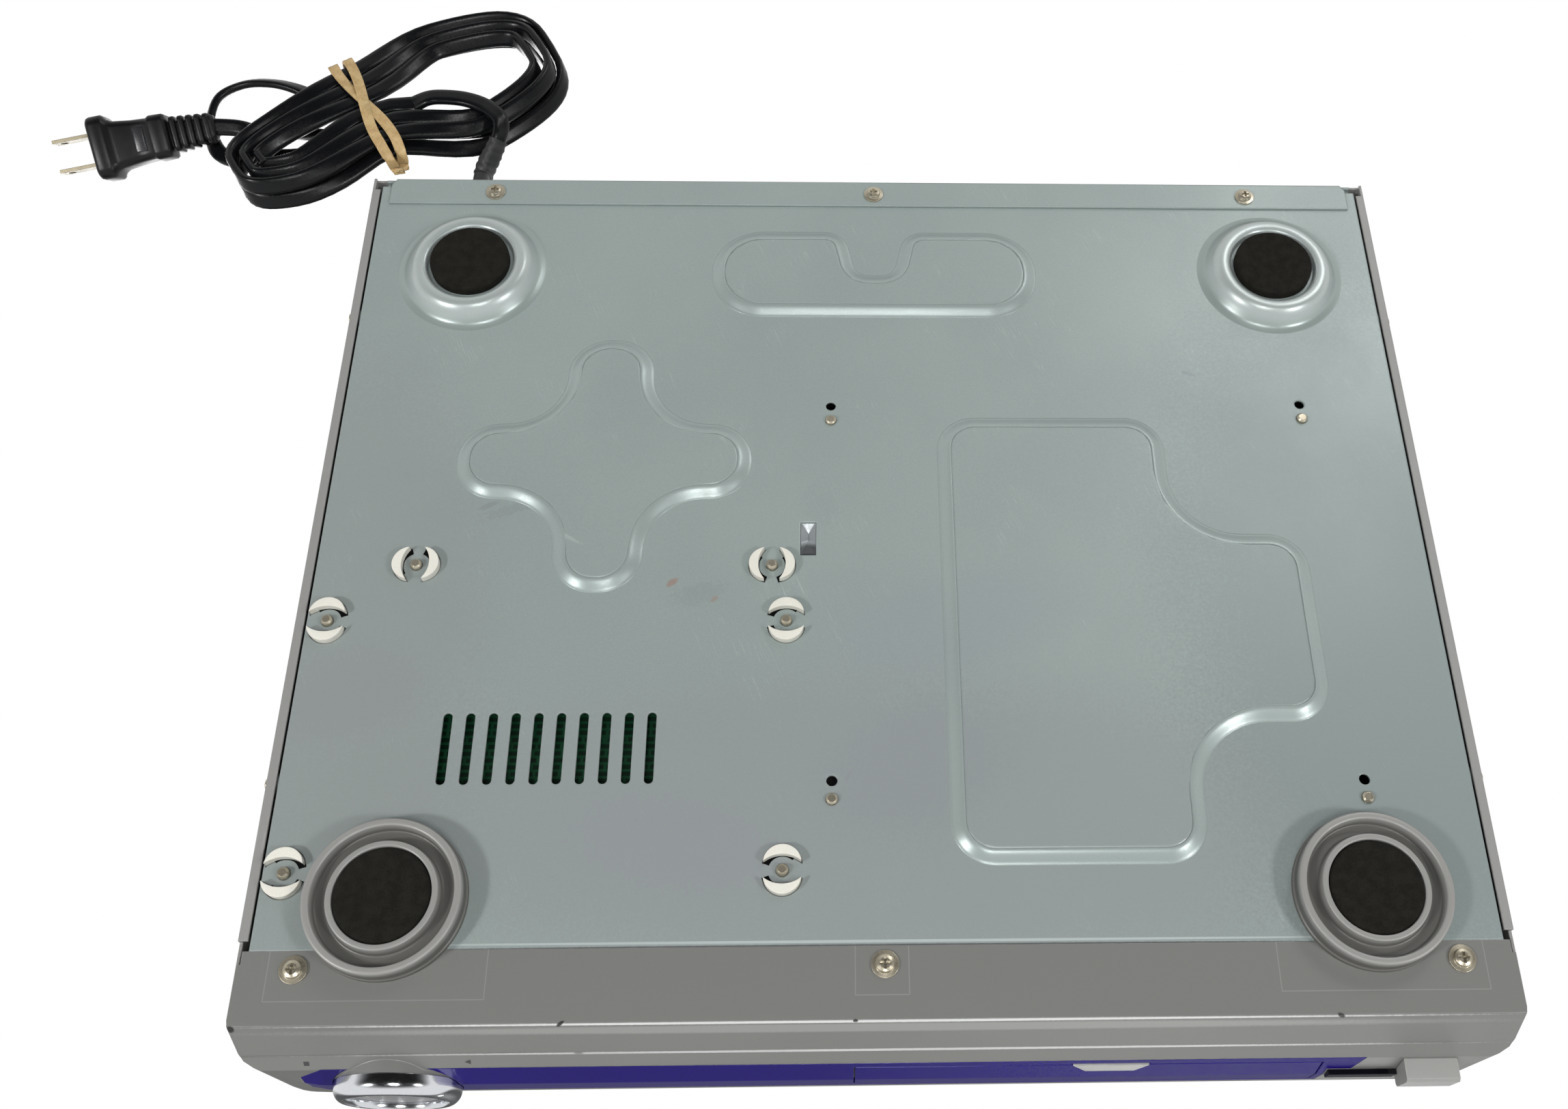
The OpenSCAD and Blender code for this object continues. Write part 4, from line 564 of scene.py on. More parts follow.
# Painted sheen: pale on each dish's crest, fading to the plate's colour towards the plate.
DISH = HollowFinish(
    "Drawn dish steel", (176, 184, 182), (166, 174, 172), 0.29, 0.37, metal=0.34, mottle=0.8, fine=1500.0,
    broad=40.0, depth=0.003, rounding=1.0, deep=(149, 160, 157), span=(3.6, 8.2), share=1.0,
)
COVER = Finish(
    "Cover steel", (144, 143, 141), (135, 134, 131), 0.42, 0.56, metal=0.1, fine=2600.0, broad=7.0,
    depth=0.03, rounding=0.7, wear=0.2, worn=(204, 202, 198), lines=0.12,
)
BEZEL = Finish(
    "Bezel paint", (124, 124, 121), (116, 116, 113), 0.34, 0.46, metal=0.2, fine=5200.0, broad=10.0,
    mottle=0.8, depth=0.008, rounding=0.45, wear=0.35, worn=(205, 205, 202),
    marks=(
        # A lighter band of painted light along the first slope, and painted highlights along both folded
        # edges.
        Mark((0, -26.2, 3.0), (236, 1.7, 3.0), 0, (162, 162, 159), 0.6, 0.2),
        Mark((0, -24.7, 0.5), (232, 0.42, 1.5), 0, (228, 229, 227), 0.85, 0.25),
        Mark((0, -31.9, 12), (232, 0.4, 1.5), 0, (222, 223, 221), 0.75, 0.25),
        Mark((107, -24.6, 0), (2.2, 0.7, 2), 35, (28, 27, 26), 0.95, 0.5),
        Mark((10, -24.5, 0), (1.1, 0.6, 2), 0, (30, 28, 27), 0.95, 0.5),
        Mark((-152, -24.6, 0), (1.9, 0.9, 2), -28, (34, 32, 30), 0.9, 0.5),
        Mark((213.6, -25, 1), (1.6, 1.2, 3), 0, (26, 25, 24), 0.95, 0.4),
        Mark((102, -32, 12), (2.4, 0.6, 1), 0, (70, 70, 68), 0.6, 0.6),
        Mark((-196, -31, 12), (1.6, 0.7, 1), 0, (60, 60, 58), 0.5, 0.6),
    ),
    frames=(
        ((168.5, -8.2, 0), (36, 8.3, 5)), ((-168.5, -8.2, 0), (35.5, 8.3, 5)), ((1, -8.1, 0), (9, 8.2, 5)),
    ),
)
# Painted shade in each front foot's channel and high on its outer wall.
FOOT = HollowFinish(
    "Foot moulding", (146, 145, 142), (137, 136, 133), 0.36, 0.48, metal=0.15, fine=5200.0, broad=40.0,
    depth=0.008, rounding=0.3, wear=0.5, worn=(198, 197, 194),
)
BUTTON = Finish(
    "Button paint", (158, 158, 155), (149, 149, 146), 0.38, 0.5, metal=0.1, fine=5200.0, depth=0.006,
    gloss=0.2, rounding=0.5, wear=0.7, worn=(226, 226, 223),
)
CHROME = Finish(
    "Ring plating", (214, 216, 219), (204, 207, 211), 0.11, 0.16, metal=1.0, fine=900.0, broad=30.0,
    depth=0.002, rounding=0.3,
)
DISC = Finish(
    "Disc paint", (152, 152, 153), (142, 142, 143), 0.38, 0.48, metal=0.35, fine=5200.0, depth=0.004,
    gloss=0.2, rounding=0.5, wear=0.4, worn=(224, 224, 222),
)
NICKEL = Finish(
    "Nickel plating", (186, 179, 161), (150, 141, 121), 0.26, 0.4, metal=0.82, fine=1800.0, broad=120.0,
    depth=0.02, rounding=0.25, lines=0.3, worn=(236, 232, 222),
)
BLADE = Finish(
    "Blade plating", (140, 132, 112), (112, 104, 84), 0.3, 0.42, metal=0.7, fine=1800.0, broad=120.0,
    depth=0.02, rounding=0.25, lines=0.3, worn=(200, 194, 176),
)
# A dark skin of painted shade, put where a slot stands open.
SLOT_SHADE = Finish("Slot shade", (13, 13, 14), (8, 8, 9), 0.8, 0.9, gloss=0.05, depth=0.01)
WINDOW = TintedFinish(
    "Tinted window", (26, 7, 118), (20, 4, 98), 0.12, 0.17, fine=700.0, broad=12.0, mottle=0.8, depth=0.001,
    gloss=0.5, rounding=0.4,
)
SENSOR = TintedFinish(
    "Sensor window", (16, 14, 22), (11, 10, 15), 0.05, 0.09, fine=700.0, depth=0.001, gloss=0.4,
    rounding=0.5, rim=(46, 42, 60),
)
BLACK = Finish(
    "Black moulding", (34, 34, 35), (27, 27, 28), 0.42, 0.58, fine=2600.0, depth=0.03, rounding=0.3,
    wear=0.15, worn=(92, 92, 92),
)
TRAY = Finish(
    "Tray moulding", (70, 71, 74), (62, 63, 66), 0.4, 0.54, fine=3200.0, depth=0.03, rounding=0.4,
    wear=0.15, worn=(120, 120, 122),
)
NYLON = SoftFinish(
    "Support nylon", (224, 222, 212), (208, 205, 193), 0.3, 0.42, fine=1400.0, broad=60.0, depth=0.01,
    rounding=0.5, under=0.15, radius=1.2,
)
ACETAL = SoftFinish(
    "Gear acetal", (228, 226, 216), (216, 213, 202), 0.3, 0.4, fine=1400.0, broad=60.0, depth=0.01,
    rounding=0.25, under=0.12, radius=1.0,
)
FELT = Finish(
    "Pad felt", (32, 31, 27), (22, 21, 18), 0.82, 0.95, fine=1500.0, broad=260.0, mottle=1.0, depth=0.35,
    gloss=0.1, rounding=0.3,
)
BOARD = BoardFinish("Circuit board", (9, 39, 24), (7, 28, 17), 0.3, 0.42, fine=900.0, depth=0.01)
TRANSFORMER = Finish(
    "Transformer tape", (196, 168, 74), (150, 126, 52), 0.35, 0.5, fine=700.0, broad=80.0, mottle=1.0,
    depth=0.03,
)
SLEEVE = Finish(
    "Capacitor sleeve", (44, 52, 78), (32, 38, 58), 0.2, 0.32, fine=500.0, broad=60.0, depth=0.005,
)
ALUMINIUM = Finish(
    "Heat sink metal", (168, 170, 174), (150, 152, 156), 0.3, 0.42, metal=0.9, lines=0.5, depth=0.02,
    worn=(210, 212, 214),
)
CHIP = Finish("Component moulding", (30, 31, 33), (24, 25, 27), 0.45, 0.6, fine=3000.0, depth=0.02)
BRIDGE = Finish(
    "Galvanised steel", (182, 187, 188), (160, 166, 168), 0.3, 0.44, metal=0.5, fine=600.0, broad=120.0,
    mottle=1.0, depth=0.01,
)
TONGUE = Finish(
    "Tongue steel", (168, 173, 175), (150, 156, 158), 0.3, 0.42, metal=0.45, fine=600.0, broad=120.0,
    depth=0.01,
    marks=(
        # Painted shade on the tongue's front end, down in the slot, darkest at the very front.
        Mark((27, 149.5, 2), (7.0, 6.6, 12), 0, (58, 60, 62), 0.9, 0.2),
        Mark((27, 147.5, 2), (7.0, 2.6, 12), 0, (20, 21, 22), 0.9, 0.2),
    ),
)
CAN = Finish("Motor can", (182, 184, 186), (166, 168, 170), 0.24, 0.36, metal=0.95, lines=0.4, depth=0.01)
BRASS = Finish(
    "Pinion brass", (206, 178, 108), (184, 154, 84), 0.22, 0.34, metal=1.0, depth=0.01, rounding=0.2,
)
LENS = Finish(
    "Lens holder", (64, 80, 128), (36, 46, 84), 0.06, 0.14, fine=300.0, coat=0.8, depth=0.002, rounding=0.3,
)
JACKS = Finish("Jack block", (46, 46, 50), (38, 38, 42), 0.34, 0.46, fine=2600.0, depth=0.02, rounding=0.3)
BELT = Finish("Belt rubber", (28, 28, 28), (22, 22, 22), 0.6, 0.75, fine=2200.0, depth=0.02)
CORD = Finish(
    "Cord sheath", (13, 14, 16), (8, 9, 11), 0.24, 0.34, fine=900.0, broad=40.0, depth=0.006, gloss=0.2,
    rounding=0.1,
)
PLUG = Finish(
    "Plug moulding", (15, 15, 17), (11, 11, 13), 0.3, 0.42, fine=2400.0, broad=60.0, depth=0.02, gloss=0.22,
    rounding=0.5,
)
PAD_SHEEN = Finish(
    "Plug grip pad", (40, 40, 43), (32, 32, 35), 0.22, 0.32, fine=2400.0, depth=0.02, gloss=0.4,
    rounding=0.3,
)
LATEX = SoftFinish(
    "Rubber band", (200, 174, 126), (170, 140, 92), 0.42, 0.58, fine=1100.0, broad=180.0, mottle=1.0,
    depth=0.06, under=0.25, radius=1.5,
)
INK = Finish("Printed ink", (60, 60, 60), (52, 52, 52), 0.5, 0.6, fine=2600.0, depth=0.002, rounding=0.02)


class Workshop:
    """Keeps the finishes that were built, dresses model nodes and adds new pieces."""

    def __init__(self) -> None:
        """Builds the shader groups."""
        self.effects = Effects()
        self.finishes: dict[str, bpy.types.Material] = {}

    def material(self, finish: Finish) -> bpy.types.Material:
        """Gives the material of a finish, and builds it at its first use."""
        if finish.name not in self.finishes:
            self.finishes[finish.name] = finish.build(self.effects)
        return self.finishes[finish.name]

    def dress(self, finish: Finish, *nodes: str) -> None:
        """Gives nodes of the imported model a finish.

        Args:
            finish: the finish.
            nodes: names of the nodes.
        """
        for name in nodes:
            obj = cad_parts[name]
            obj.data.materials.clear()
            obj.data.materials.append(self.material(finish))
            LOG.info("%s is dressed in %s", name, finish.name)

    def piece(
        self, name: str, mesh: bpy.types.Mesh, finish: Finish, body: str, slot: str, *nodes: str,
        crease: float = 40.0,
    ) -> bpy.types.Object:
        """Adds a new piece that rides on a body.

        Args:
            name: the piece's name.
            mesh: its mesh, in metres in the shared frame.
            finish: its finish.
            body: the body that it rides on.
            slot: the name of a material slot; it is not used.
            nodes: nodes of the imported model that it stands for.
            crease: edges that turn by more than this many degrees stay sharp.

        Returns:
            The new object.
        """
        mesh.materials.append(self.material(finish))
        mesh.shade_smooth()
        mesh.set_sharp_from_angle(angle=math.radians(crease))
        obj = bpy.data.objects.new(name, mesh)
        bpy.context.scene.collection.objects.link(obj)
        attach(obj, body)
        if nodes:
            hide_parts(*nodes)
        LOG.info("%s has %d faces in %s", name, len(mesh.polygons), finish.name)
        return obj


def mesh_of(name: str, points: Iterable[Sequence[float]], faces: Iterable[Sequence[int]]) -> bpy.types.Mesh:
    """Makes a closed mesh whose faces all look outwards.

    Args:
        name: the mesh's name.
        points: its vertices in metres.
        faces: its faces as indices of the vertices.

    Returns:
        The mesh.
    """
    mesh = bpy.data.meshes.new(name)
    mesh.from_pydata([tuple(p) for p in points], [], [tuple(f) for f in faces])
    shape = bmesh.new()
    shape.from_mesh(mesh)
    bmesh.ops.recalc_face_normals(shape, faces=shape.faces[:])
    shape.to_mesh(mesh)
    shape.free()
    return mesh


def rings_mesh(name: str, rings: Sequence[Sequence[Vector]], closed: bool = False) -> bpy.types.Mesh:
    """Skins rings of equal length, with a cap at each end unless they close on themselves.

    Args:
        name: the mesh's name.
        rings: the rings in order, in metres.
        closed: whether the last ring joins the first.

    Returns:
        The mesh.
    """
    m, n = len(rings[0]), len(rings)
    faces = [
        (i * m + k, i * m + (k + 1) % m, (i + 1) % n * m + (k + 1) % m, (i + 1) % n * m + k)
        for i in range(n if closed else n - 1)
        for k in range(m)
    ]
    if not closed:
        faces += [tuple(range(m))[::-1], tuple(range((n - 1) * m, n * m))]
    return mesh_of(name, [p for ring in rings for p in ring], faces)


def lathe_mesh(name: str, profile: Sequence[Pair], at: Vector, steps: int) -> bpy.types.Mesh:
    """Turns a profile round an upright axis, from the axis below to the axis above.

    Args:
        name: the mesh's name.
        profile: radius and height of each point, in millimetres, both ends on the axis.
        at: the foot of the axis, in metres.
        steps: corners of each ring.

    Returns:
        The mesh.
    """
    inner = profile[1:-1]
    angles = [2 * math.pi * k / steps for k in range(steps)]
    points = [at + Vector((0, 0, profile[0][1] * MM))]
    for r, z in inner:
        points += [at + Vector((r * math.cos(a), r * math.sin(a), z)) * MM for a in angles]
    points.append(at + Vector((0, 0, profile[-1][1] * MM)))
    last = len(points) - 1
    faces = [(0, 1 + (k + 1) % steps, 1 + k) for k in range(steps)]
    for i in range(len(inner) - 1):
        a, b = 1 + i * steps, 1 + (i + 1) * steps
        faces += [(a + k, a + (k + 1) % steps, b + (k + 1) % steps, b + k) for k in range(steps)]
    a = 1 + (len(inner) - 1) * steps
    faces += [(a + k, a + (k + 1) % steps, last) for k in range(steps)]
    return mesh_of(name, points, faces)


def smooth_step(u: float) -> float:
    """Eases a share from 0 to 1."""
    u = min(1.0, max(0.0, u))
    return u * u * (3 - 2 * u)


def spline(points: Sequence[Vector], steps: int) -> list[Vector]:
    """Runs a smooth curve through points.

    Args:
        points: the points, of any number of coordinates.
        steps: how many parts each stretch is cut into.

    Returns:
        The points of the curve.
    """
    made, last = [], len(points) - 1
    for i in range(last):
        a, b, c, d = points[max(i - 1, 0)], points[i], points[i + 1], points[min(i + 2, last)]
        for k in range(steps):
            u = k / steps
            bent = 2 * b + (c - a) * u + (2 * a - 5 * b + 4 * c - d) * u * u
            made.append(0.5 * (bent + (3 * b - a - 3 * c + d) * u**3))
    return [*made, points[last]]


def evenly(points: Sequence[Vector], count: int) -> list[Vector]:
    """Spaces points evenly along a closed line.

    Args:
        points: the line, whose last point repeats its first.
        count: how many points to make.

    Returns:
        The points, without a repeat of the first.
    """
    sides = [(b - a).length for a, b in zip(points, points[1:])]
    whole, made, i, gone = sum(sides), [], 0, 0.0
    for k in range(count):
        at = whole * k / count
        while gone + sides[i] < at:
            gone += sides[i]
            i += 1
        made.append(points[i].lerp(points[i + 1], (at - gone) / sides[i]))
    return made


def soft_oval(half: Pair, powers: Pair, corners: int) -> list[Pair]:
    """Corners of an oval with flattened sides.

    Args:
        half: half its width and half its height.
        powers: how square it is along each; 1 and 1 give an ellipse.
        corners: how many corners it has.

    Returns:
        Its corners, anticlockwise.
    """
    made = []
    for k in range(corners):
        a = 2 * math.pi * (k + 0.5) / corners
        c, s = math.cos(a), math.sin(a)
        x = half[0] * math.copysign(abs(c) ** powers[0], c)
        made.append((x, half[1] * math.copysign(abs(s) ** powers[1], s)))
    return made


@dataclass
class Hank:
    """The wound part of the cord: flat loops drawn in at a waist, in a lower and an upper layer.

    A field with three values holds them for the waist, for the far bight and for the near bight.
    Angles are in degrees, and the numbers of turns count whole loops.
    """

    at: Pair = (225.5, 218.5)
    heading: float = 149.0
    middle: float = 15.5
    half: float = 75.5
    waist_at: float = 3.0
    waist_reach: float = 45.0
    half_widths: Point = (23.1, 35.8, 24.6)
    sideways: Point = (-0.3, 0.0, -5.0)
    levels: Point = (3.6, 8.7, 4.5)
    layer_steps: Pair = (4.8, 8.4)
    loop_steps: Point = (8.4, 6.6, 5.7)
    first_angle: float = 270.0
    low_turns: float = 2.5
    turn_round: float = 0.5
    high_turns: float = 0.9167
    climb_arc: float = 80.0
    tilt: float = 45.0
    lean_rate: float = 2.2
    roundness: float = 0.6

    def bight(self, p: float) -> float:
        """Share of a bight's value, from 0 at the waist to 1 in a bight."""
        return smooth_step(abs(p - self.waist_at) / self.waist_reach)

    def mixed(self, values: Point, p: float) -> float:
        """Blends a value at the waist with that of the far or the near bight."""
        return values[0] + self.bight(p) * (values[1 if p > self.waist_at else 2] - values[0])

    def outline(self, angle: float) -> Vector:
        """The outermost loop, along and across the hank."""
        p, s = self.middle + self.half * math.cos(math.radians(angle)), math.sin(math.radians(angle))
        away = math.copysign(abs(s) ** self.roundness, s)
        return Vector((p, self.mixed(self.sideways, p) + self.mixed(self.half_widths, p) * away))

    def place(self, p: float, q: float, z: float, roll: float) -> Vector:
        """Turns a place along and across the hank into the frame's, in millimetres."""
        c, s = math.cos(math.radians(self.heading)), math.sin(math.radians(self.heading))
        return Vector((self.at[0] + p * c + q * s, self.at[1] + p * s - q * c, z, roll))

    def point(self, t: float) -> Vector:
        """The cord's middle after t turns, and its roll.

        Args:
            t: turns from the start of the hank.

        Returns:
            x, y and z in millimetres, and the roll in degrees.
        """
        angle = self.first_angle - 360 * t
        along = self.outline(angle + 1.5) - self.outline(angle - 1.5)
        along.normalize()
        out = self.outline(angle)
        inwards = max(self.low_turns - t, 0.0, t - self.low_turns - self.turn_round)
        w = out - inwards * self.mixed(self.loop_steps, out[0]) * Vector((along[1], -along[0]))
        flat = 1 - self.bight(w[0])
        up = smooth_step(0.5 + 360 * (t - self.low_turns - self.turn_round / 2) / self.climb_arc)
        rise = self.layer_steps[1] - (self.layer_steps[1] - self.layer_steps[0]) * flat**3
        lean = math.tanh(self.lean_rate * math.sin(math.radians(angle)))
        roll = lean * (self.tilt + (90 - self.tilt) * flat)
        return self.place(w[0], w[1], self.mixed(self.levels, w[0]) + up * rise, roll)

    def route(self, per_loop: int) -> list[Vector]:
        """The points of the whole hank."""
        loops = self.low_turns + self.turn_round + self.high_turns
        return [self.point(i / per_loop) for i in range(round(per_loop * loops) + 1)]


# The cord's middle and its roll, from the rear panel to the hank, and then from the hank to the plug.
LEAD: list[Row] = [
    (172, 191.2, 16.9, -180), (172, 193.5, 16.9, -180), (170, 197.5, 14, -175), (166.5, 202, 9.5, -165),
    (164, 207, 6, -150), (163.5, 212, 3.9, -120), (165.5, 216, 2.7, -95), (172, 221.5, 2.6, -90),
    (181, 225, 2.6, -90), (191, 226, 2.6, -90), (197, 225.2, 2.8, -88),
]
TAIL: list[Row] = [
    (179.4, 219.4, 16.2, -55), (194, 218.7, 16, -68), (208, 218.5, 16.6, -80), (220.7, 220.2, 18.2, -88),
    (231, 225.7, 18.6, -90), (241.3, 231.2, 18.2, -94), (250, 237, 16.5, -105), (260, 241.5, 14.5, -120),
    (271, 243.5, 13.2, -128), (283, 242, 12.6, -132), (293, 235, 13.2, -144), (296, 225, 15.6, -148),
    (295, 216.5, 18.6, -135), (291, 209, 20.2, -110), (284, 205, 20.4, -92), (275, 205, 20.6, -90),
    (265, 207, 21.2, -120), (255, 209, 22.2, -160), (246, 212.5, 22.4, -175), (243, 217.5, 22.2, -175),
    (247, 221, 22, -175), (256, 220, 21, -150), (264, 217, 18.6, -110), (272, 214.6, 14.2, -80),
    (280, 214.2, 10.6, -60),
]


@dataclass
class Plug:
    """The moulded plug at the cord's end, with two flat blades.

    A row of the neck holds its place along the plug, its width, its thickness and the radius of its
    corners. A row of the grip or the flange says by how much it is narrower and thinner than the plug.
    """

    at: Point = (289.2, 213.4, 9.0)
    heading: float = -11.0
    rise: float = 5.0
    roll: float = 55.0
    width: float = 27.0
    thick: float = 16.0
    length: float = 30.0
    relief: float = 22.0
    ribs: int = 5
    rib_first: Point = (1.6, 12.6, 7.8)
    rib_step: Point = (3.5, 0.6, 0.4)
    rib_shape: tuple[Pair, ...] = ((0.0, 1.0), (0.25, 0.2), (0.6, 0.0), (1.8, 0.0), (2.1, 0.2), (2.3, 1.0))
    neck: tuple[Row, ...] = ((-0.4, 8.4, 4.8, 2.0), (0.3, 10.6, 6.4, 2.4), (1.2, 11.6, 7.0, 2.4))
    grip_rows: tuple[Row, ...] = (
        (-2.7, 12.4, 6.8, 2.2), (-2.4, 9.4, 4.6, 2.8), (-1.6, 8.2, 3.8, 3.2), (3.8, 7.8, 3.4, 3.2),
        (4.8, 8.6, 3.9, 3.2), (5.3, 9.4, 4.6, 3.0), (12, 8.6, 4.4, 3.0),
    )
    flange_rows: tuple[Row, ...] = (
        (-10.4, 6.6, 3.6, 3.2), (-8.2, 4.4, 2.6, 3.6), (-7.2, 1.4, 0.8, 4.0), (-6.4, 0, 0, 4.4),
        (-1.6, 0, 0, 4.4), (-0.5, 0.6, 0.6, 4.2), (0, 2.0, 2.0, 3.6),
    )
    pad_half: Pair = (2.3, 5.4)
    pad_middle: float = 9.4
    pad_curve: tuple[Pair, ...] = ((5.0, 0.0), (5.95, 0.0), (6.15, 0.15), (6.25, 0.5))

    def turned(self) -> Matrix:
        """Places the plug's own axes, with its blades towards +X, in the frame."""
        turn = Matrix.Rotation(math.radians(self.heading), 4, "Z")
        turn = turn @ Matrix.Rotation(math.radians(-self.rise), 4, "Y")
        roll = Matrix.Rotation(math.radians(self.roll - 90), 4, "X")
        return Matrix.Translation(Vector(self.at)) @ turn @ roll

    def way(self) -> Vector:
        """The direction from the cord towards the blades."""
        a, b = math.radians(self.heading), math.radians(self.rise)
        return Vector((math.cos(b) * math.cos(a), math.cos(b) * math.sin(a), math.sin(b)))

    def section(self, x: float, wide: float, thick: float, corner: float) -> list[Vector]:
        """A rounded section across the plug.

        Args:
            x: place along the plug.
            wide: its width.
            thick: its thickness.
            corner: the radius of its corners.

        Returns:
            The points of the section in metres, in the frame.
        """
        place, points, steps = self.turned(), [], 6
        corner = min(corner, wide / 2 - 0.05, thick / 2 - 0.05)
        for quarter in range(4):
            sy, sz = ((1, 1), (-1, 1), (-1, -1), (1, -1))[quarter]
            for k in range(steps + 1):
                a = math.pi / 2 * (quarter + k / steps)
                y = sy * (wide / 2 - corner) + corner * math.cos(a)
                z = sz * (thick / 2 - corner) + corner * math.sin(a)
                points.append(place @ Vector((x, y, z)) * MM)
        return points

    def body(self) -> bpy.types.Mesh:
        """The grip with its flange, and the ribbed relief behind it."""
        rows = list(self.neck)
        for i in range(self.ribs):
            x, wide, thick = (first + step * i for first, step in zip(self.rib_first, self.rib_step))
            rows += [(x + run, wide - less, thick - less, 1.9) for run, less in self.rib_shape]
            rows += [(x + run, wide - 3.0, thick - 2.6, 1.5) for run in (2.45, 3.35)]
        back, front = self.relief, self.relief + self.length
        for start, table in ((back, self.grip_rows), (front, self.flange_rows)):
            rows += [
                (start + x, self.width - narrower, self.thick - thinner, corner)
                for x, narrower, thinner, corner in table
            ]
        return rings_mesh("plug_moulding", [self.section(*row) for row in rows])

    def grip(self, side: int) -> bpy.types.Mesh:
        """The raised pad on one broad face of the grip.

        Args:
            side: 1 or -1, the face that it is on.

        Returns:
            The pad's mesh.
        """
        place, rings, middle = self.turned(), [], self.relief + self.pad_middle
        half_x, half_y = self.pad_half
        for z, less in self.pad_curve:
            x, y = half_x - less, half_y - less
            outline = [(x, y), (x, -y), (-x, -y), (-x, y)]
            rings.append([place @ Vector((middle + x, y, side * z)) * MM for x, y in outline])
        return rings_mesh("grip_pad", rings)


@dataclass
class PowerCord:
    """The flat twin cord from the gland through the hank to the plug, with its relief and its band.

    The relief starts with rings given by their distance from the panel and by how far they stand off
    the cord. The band's loop is given across the hank and upwards.
    """

    shop: Workshop
    half_wide: float = 3.65
    half_thick: float = 1.85
    powers: Pair = (0.75, 0.6)
    groove: float = 0.08
    groove_half: float = 0.5
    corners: int = 26
    panel_at: Point = (172.0, 183.3, 16.9)
    relief_run: float = 20.0
    relief_start: tuple[Pair, ...] = ((0.0, 2.4), (0.2, 2.6), (1.4, 2.6), (1.6, 2.4), (1.8, 1.9), (3.2, 1.8))
    relief_grow: Pair = (1.5, 0.3)
    relief_powers: Pair = (0.6, 0.6)
    relief_corners: int = 28
    ridge: float = 0.3
    ridge_pitch: float = 1.7
    band_loop: tuple[Pair, ...] = (
        (-24.6, 1.0), (23.4, 1.0), (27.6, 2.6), (28.2, 4.5), (28.0, 7.4), (23.8, 13.0), (-27.8, 13.0),
        (-28.9, 12.0), (-29.0, 7.4), (-26.0, 2.4), (-24.6, 1.0),
    )
    band_turns: int = 2
    band_half: float = 2.3
    band_thick: float = 0.42
    band_twist: float = 46.0
    band_twists: int = 4
    band_start: float = 0.8
    band_sway: float = 3.5
    band_sways: int = 3
    band_lift: Point = (0.6, 0.45, 0.4)
    band_room: float = 0.4
    band_samples: int = 150
    band_phase: float = 0.092
    loop_points: int = 72
    bend_points: int = 6
    hank: Hank = field(default_factory=Hank)
    plug: Plug = field(default_factory=Plug)

    def section(self) -> list[Pair]:
        """Outline of the flat cord: broad faces with a shallow groove along the middle of each.

        Returns:
            Points as (along the width, along the thickness).
        """
        oval = soft_oval((self.half_wide, self.half_thick), self.powers, self.corners)
        return [(x, y * (1 - self.groove * math.exp(-((x / self.groove_half) ** 2)))) for x, y in oval]

    def route(self) -> list[Vector]:
        """The middle of the whole cord with its roll, in millimetres and degrees."""
        hank = self.hank.route(self.loop_points)
        lead = spline([*[Vector(p) for p in LEAD], hank[0]], self.bend_points)
        end = Vector((*self.plug.at, -self.plug.roll))
        tail = spline([hank[-1], *[Vector(p) for p in TAIL], end], self.bend_points)
        return [*lead[:-1], *hank, *tail[1:]]

    @staticmethod
    def across(way: Vector, roll: float) -> tuple[Vector, Vector]:
        """Directions of the cord's width and thickness.

        Args:
            way: the cord's direction.
            roll: its roll in degrees; at 0 the width stands upright.

        Returns:
            The width's and the thickness's direction.
        """
        side = Vector((0, 0, 1)).cross(way).normalized()
        up, a = way.cross(side), math.radians(roll)
        return up * math.cos(a) + side * math.sin(a), side * math.cos(a) - up * math.sin(a)

    def cord_mesh(self, route: Sequence[Vector]) -> bpy.types.Mesh:
        """Skins the cord's section along its route."""
        rings, last = [], len(route) - 1
        for i, p in enumerate(route):
            way = (route[min(i + 1, last)].to_3d() - route[max(i - 1, 0)].to_3d()).normalized()
            if i == last:
                way = self.plug.way()
            wide, thick = self.across(way, p[3])
            rings.append([(p.to_3d() + wide * x + thick * y) * MM for x, y in self.section()])
        return rings_mesh("cord", rings)

    def relief_mesh(self, route: Sequence[Vector]) -> bpy.types.Mesh:
        """The tapered relief that holds the cord where it leaves the rear panel."""
        rings, run, last = [], 0.0, route[0].to_3d()
        panel, out = Vector(self.panel_at), Vector((0, 1, 0))
        rows = [(panel + out * away, out, route[0][3], grow) for away, grow in self.relief_start]
        thick_end, thin_end = self.relief_grow
        for i in range(1, len(route)):
            here = route[i].to_3d()
            run += (here - last).length
            last = here
            if run > self.relief_run:
                break
            way = (route[i + 1].to_3d() - route[i - 1].to_3d()).normalized()
            ridge = self.ridge if int(run / self.ridge_pitch) % 2 else 0.0
            taper = (thick_end - thin_end) * run / self.relief_run
            rows.append((here, way, route[i][3], thick_end - taper + ridge))
        for here, way, roll, grow in rows:
            wide, thick = self.across(way, roll)
            half = (self.half_wide + grow, self.half_thick + grow)
            oval = soft_oval(half, self.relief_powers, self.relief_corners)
            rings.append([(here + wide * x + thick * y) * MM for x, y in oval])
        return rings_mesh("relief", rings)

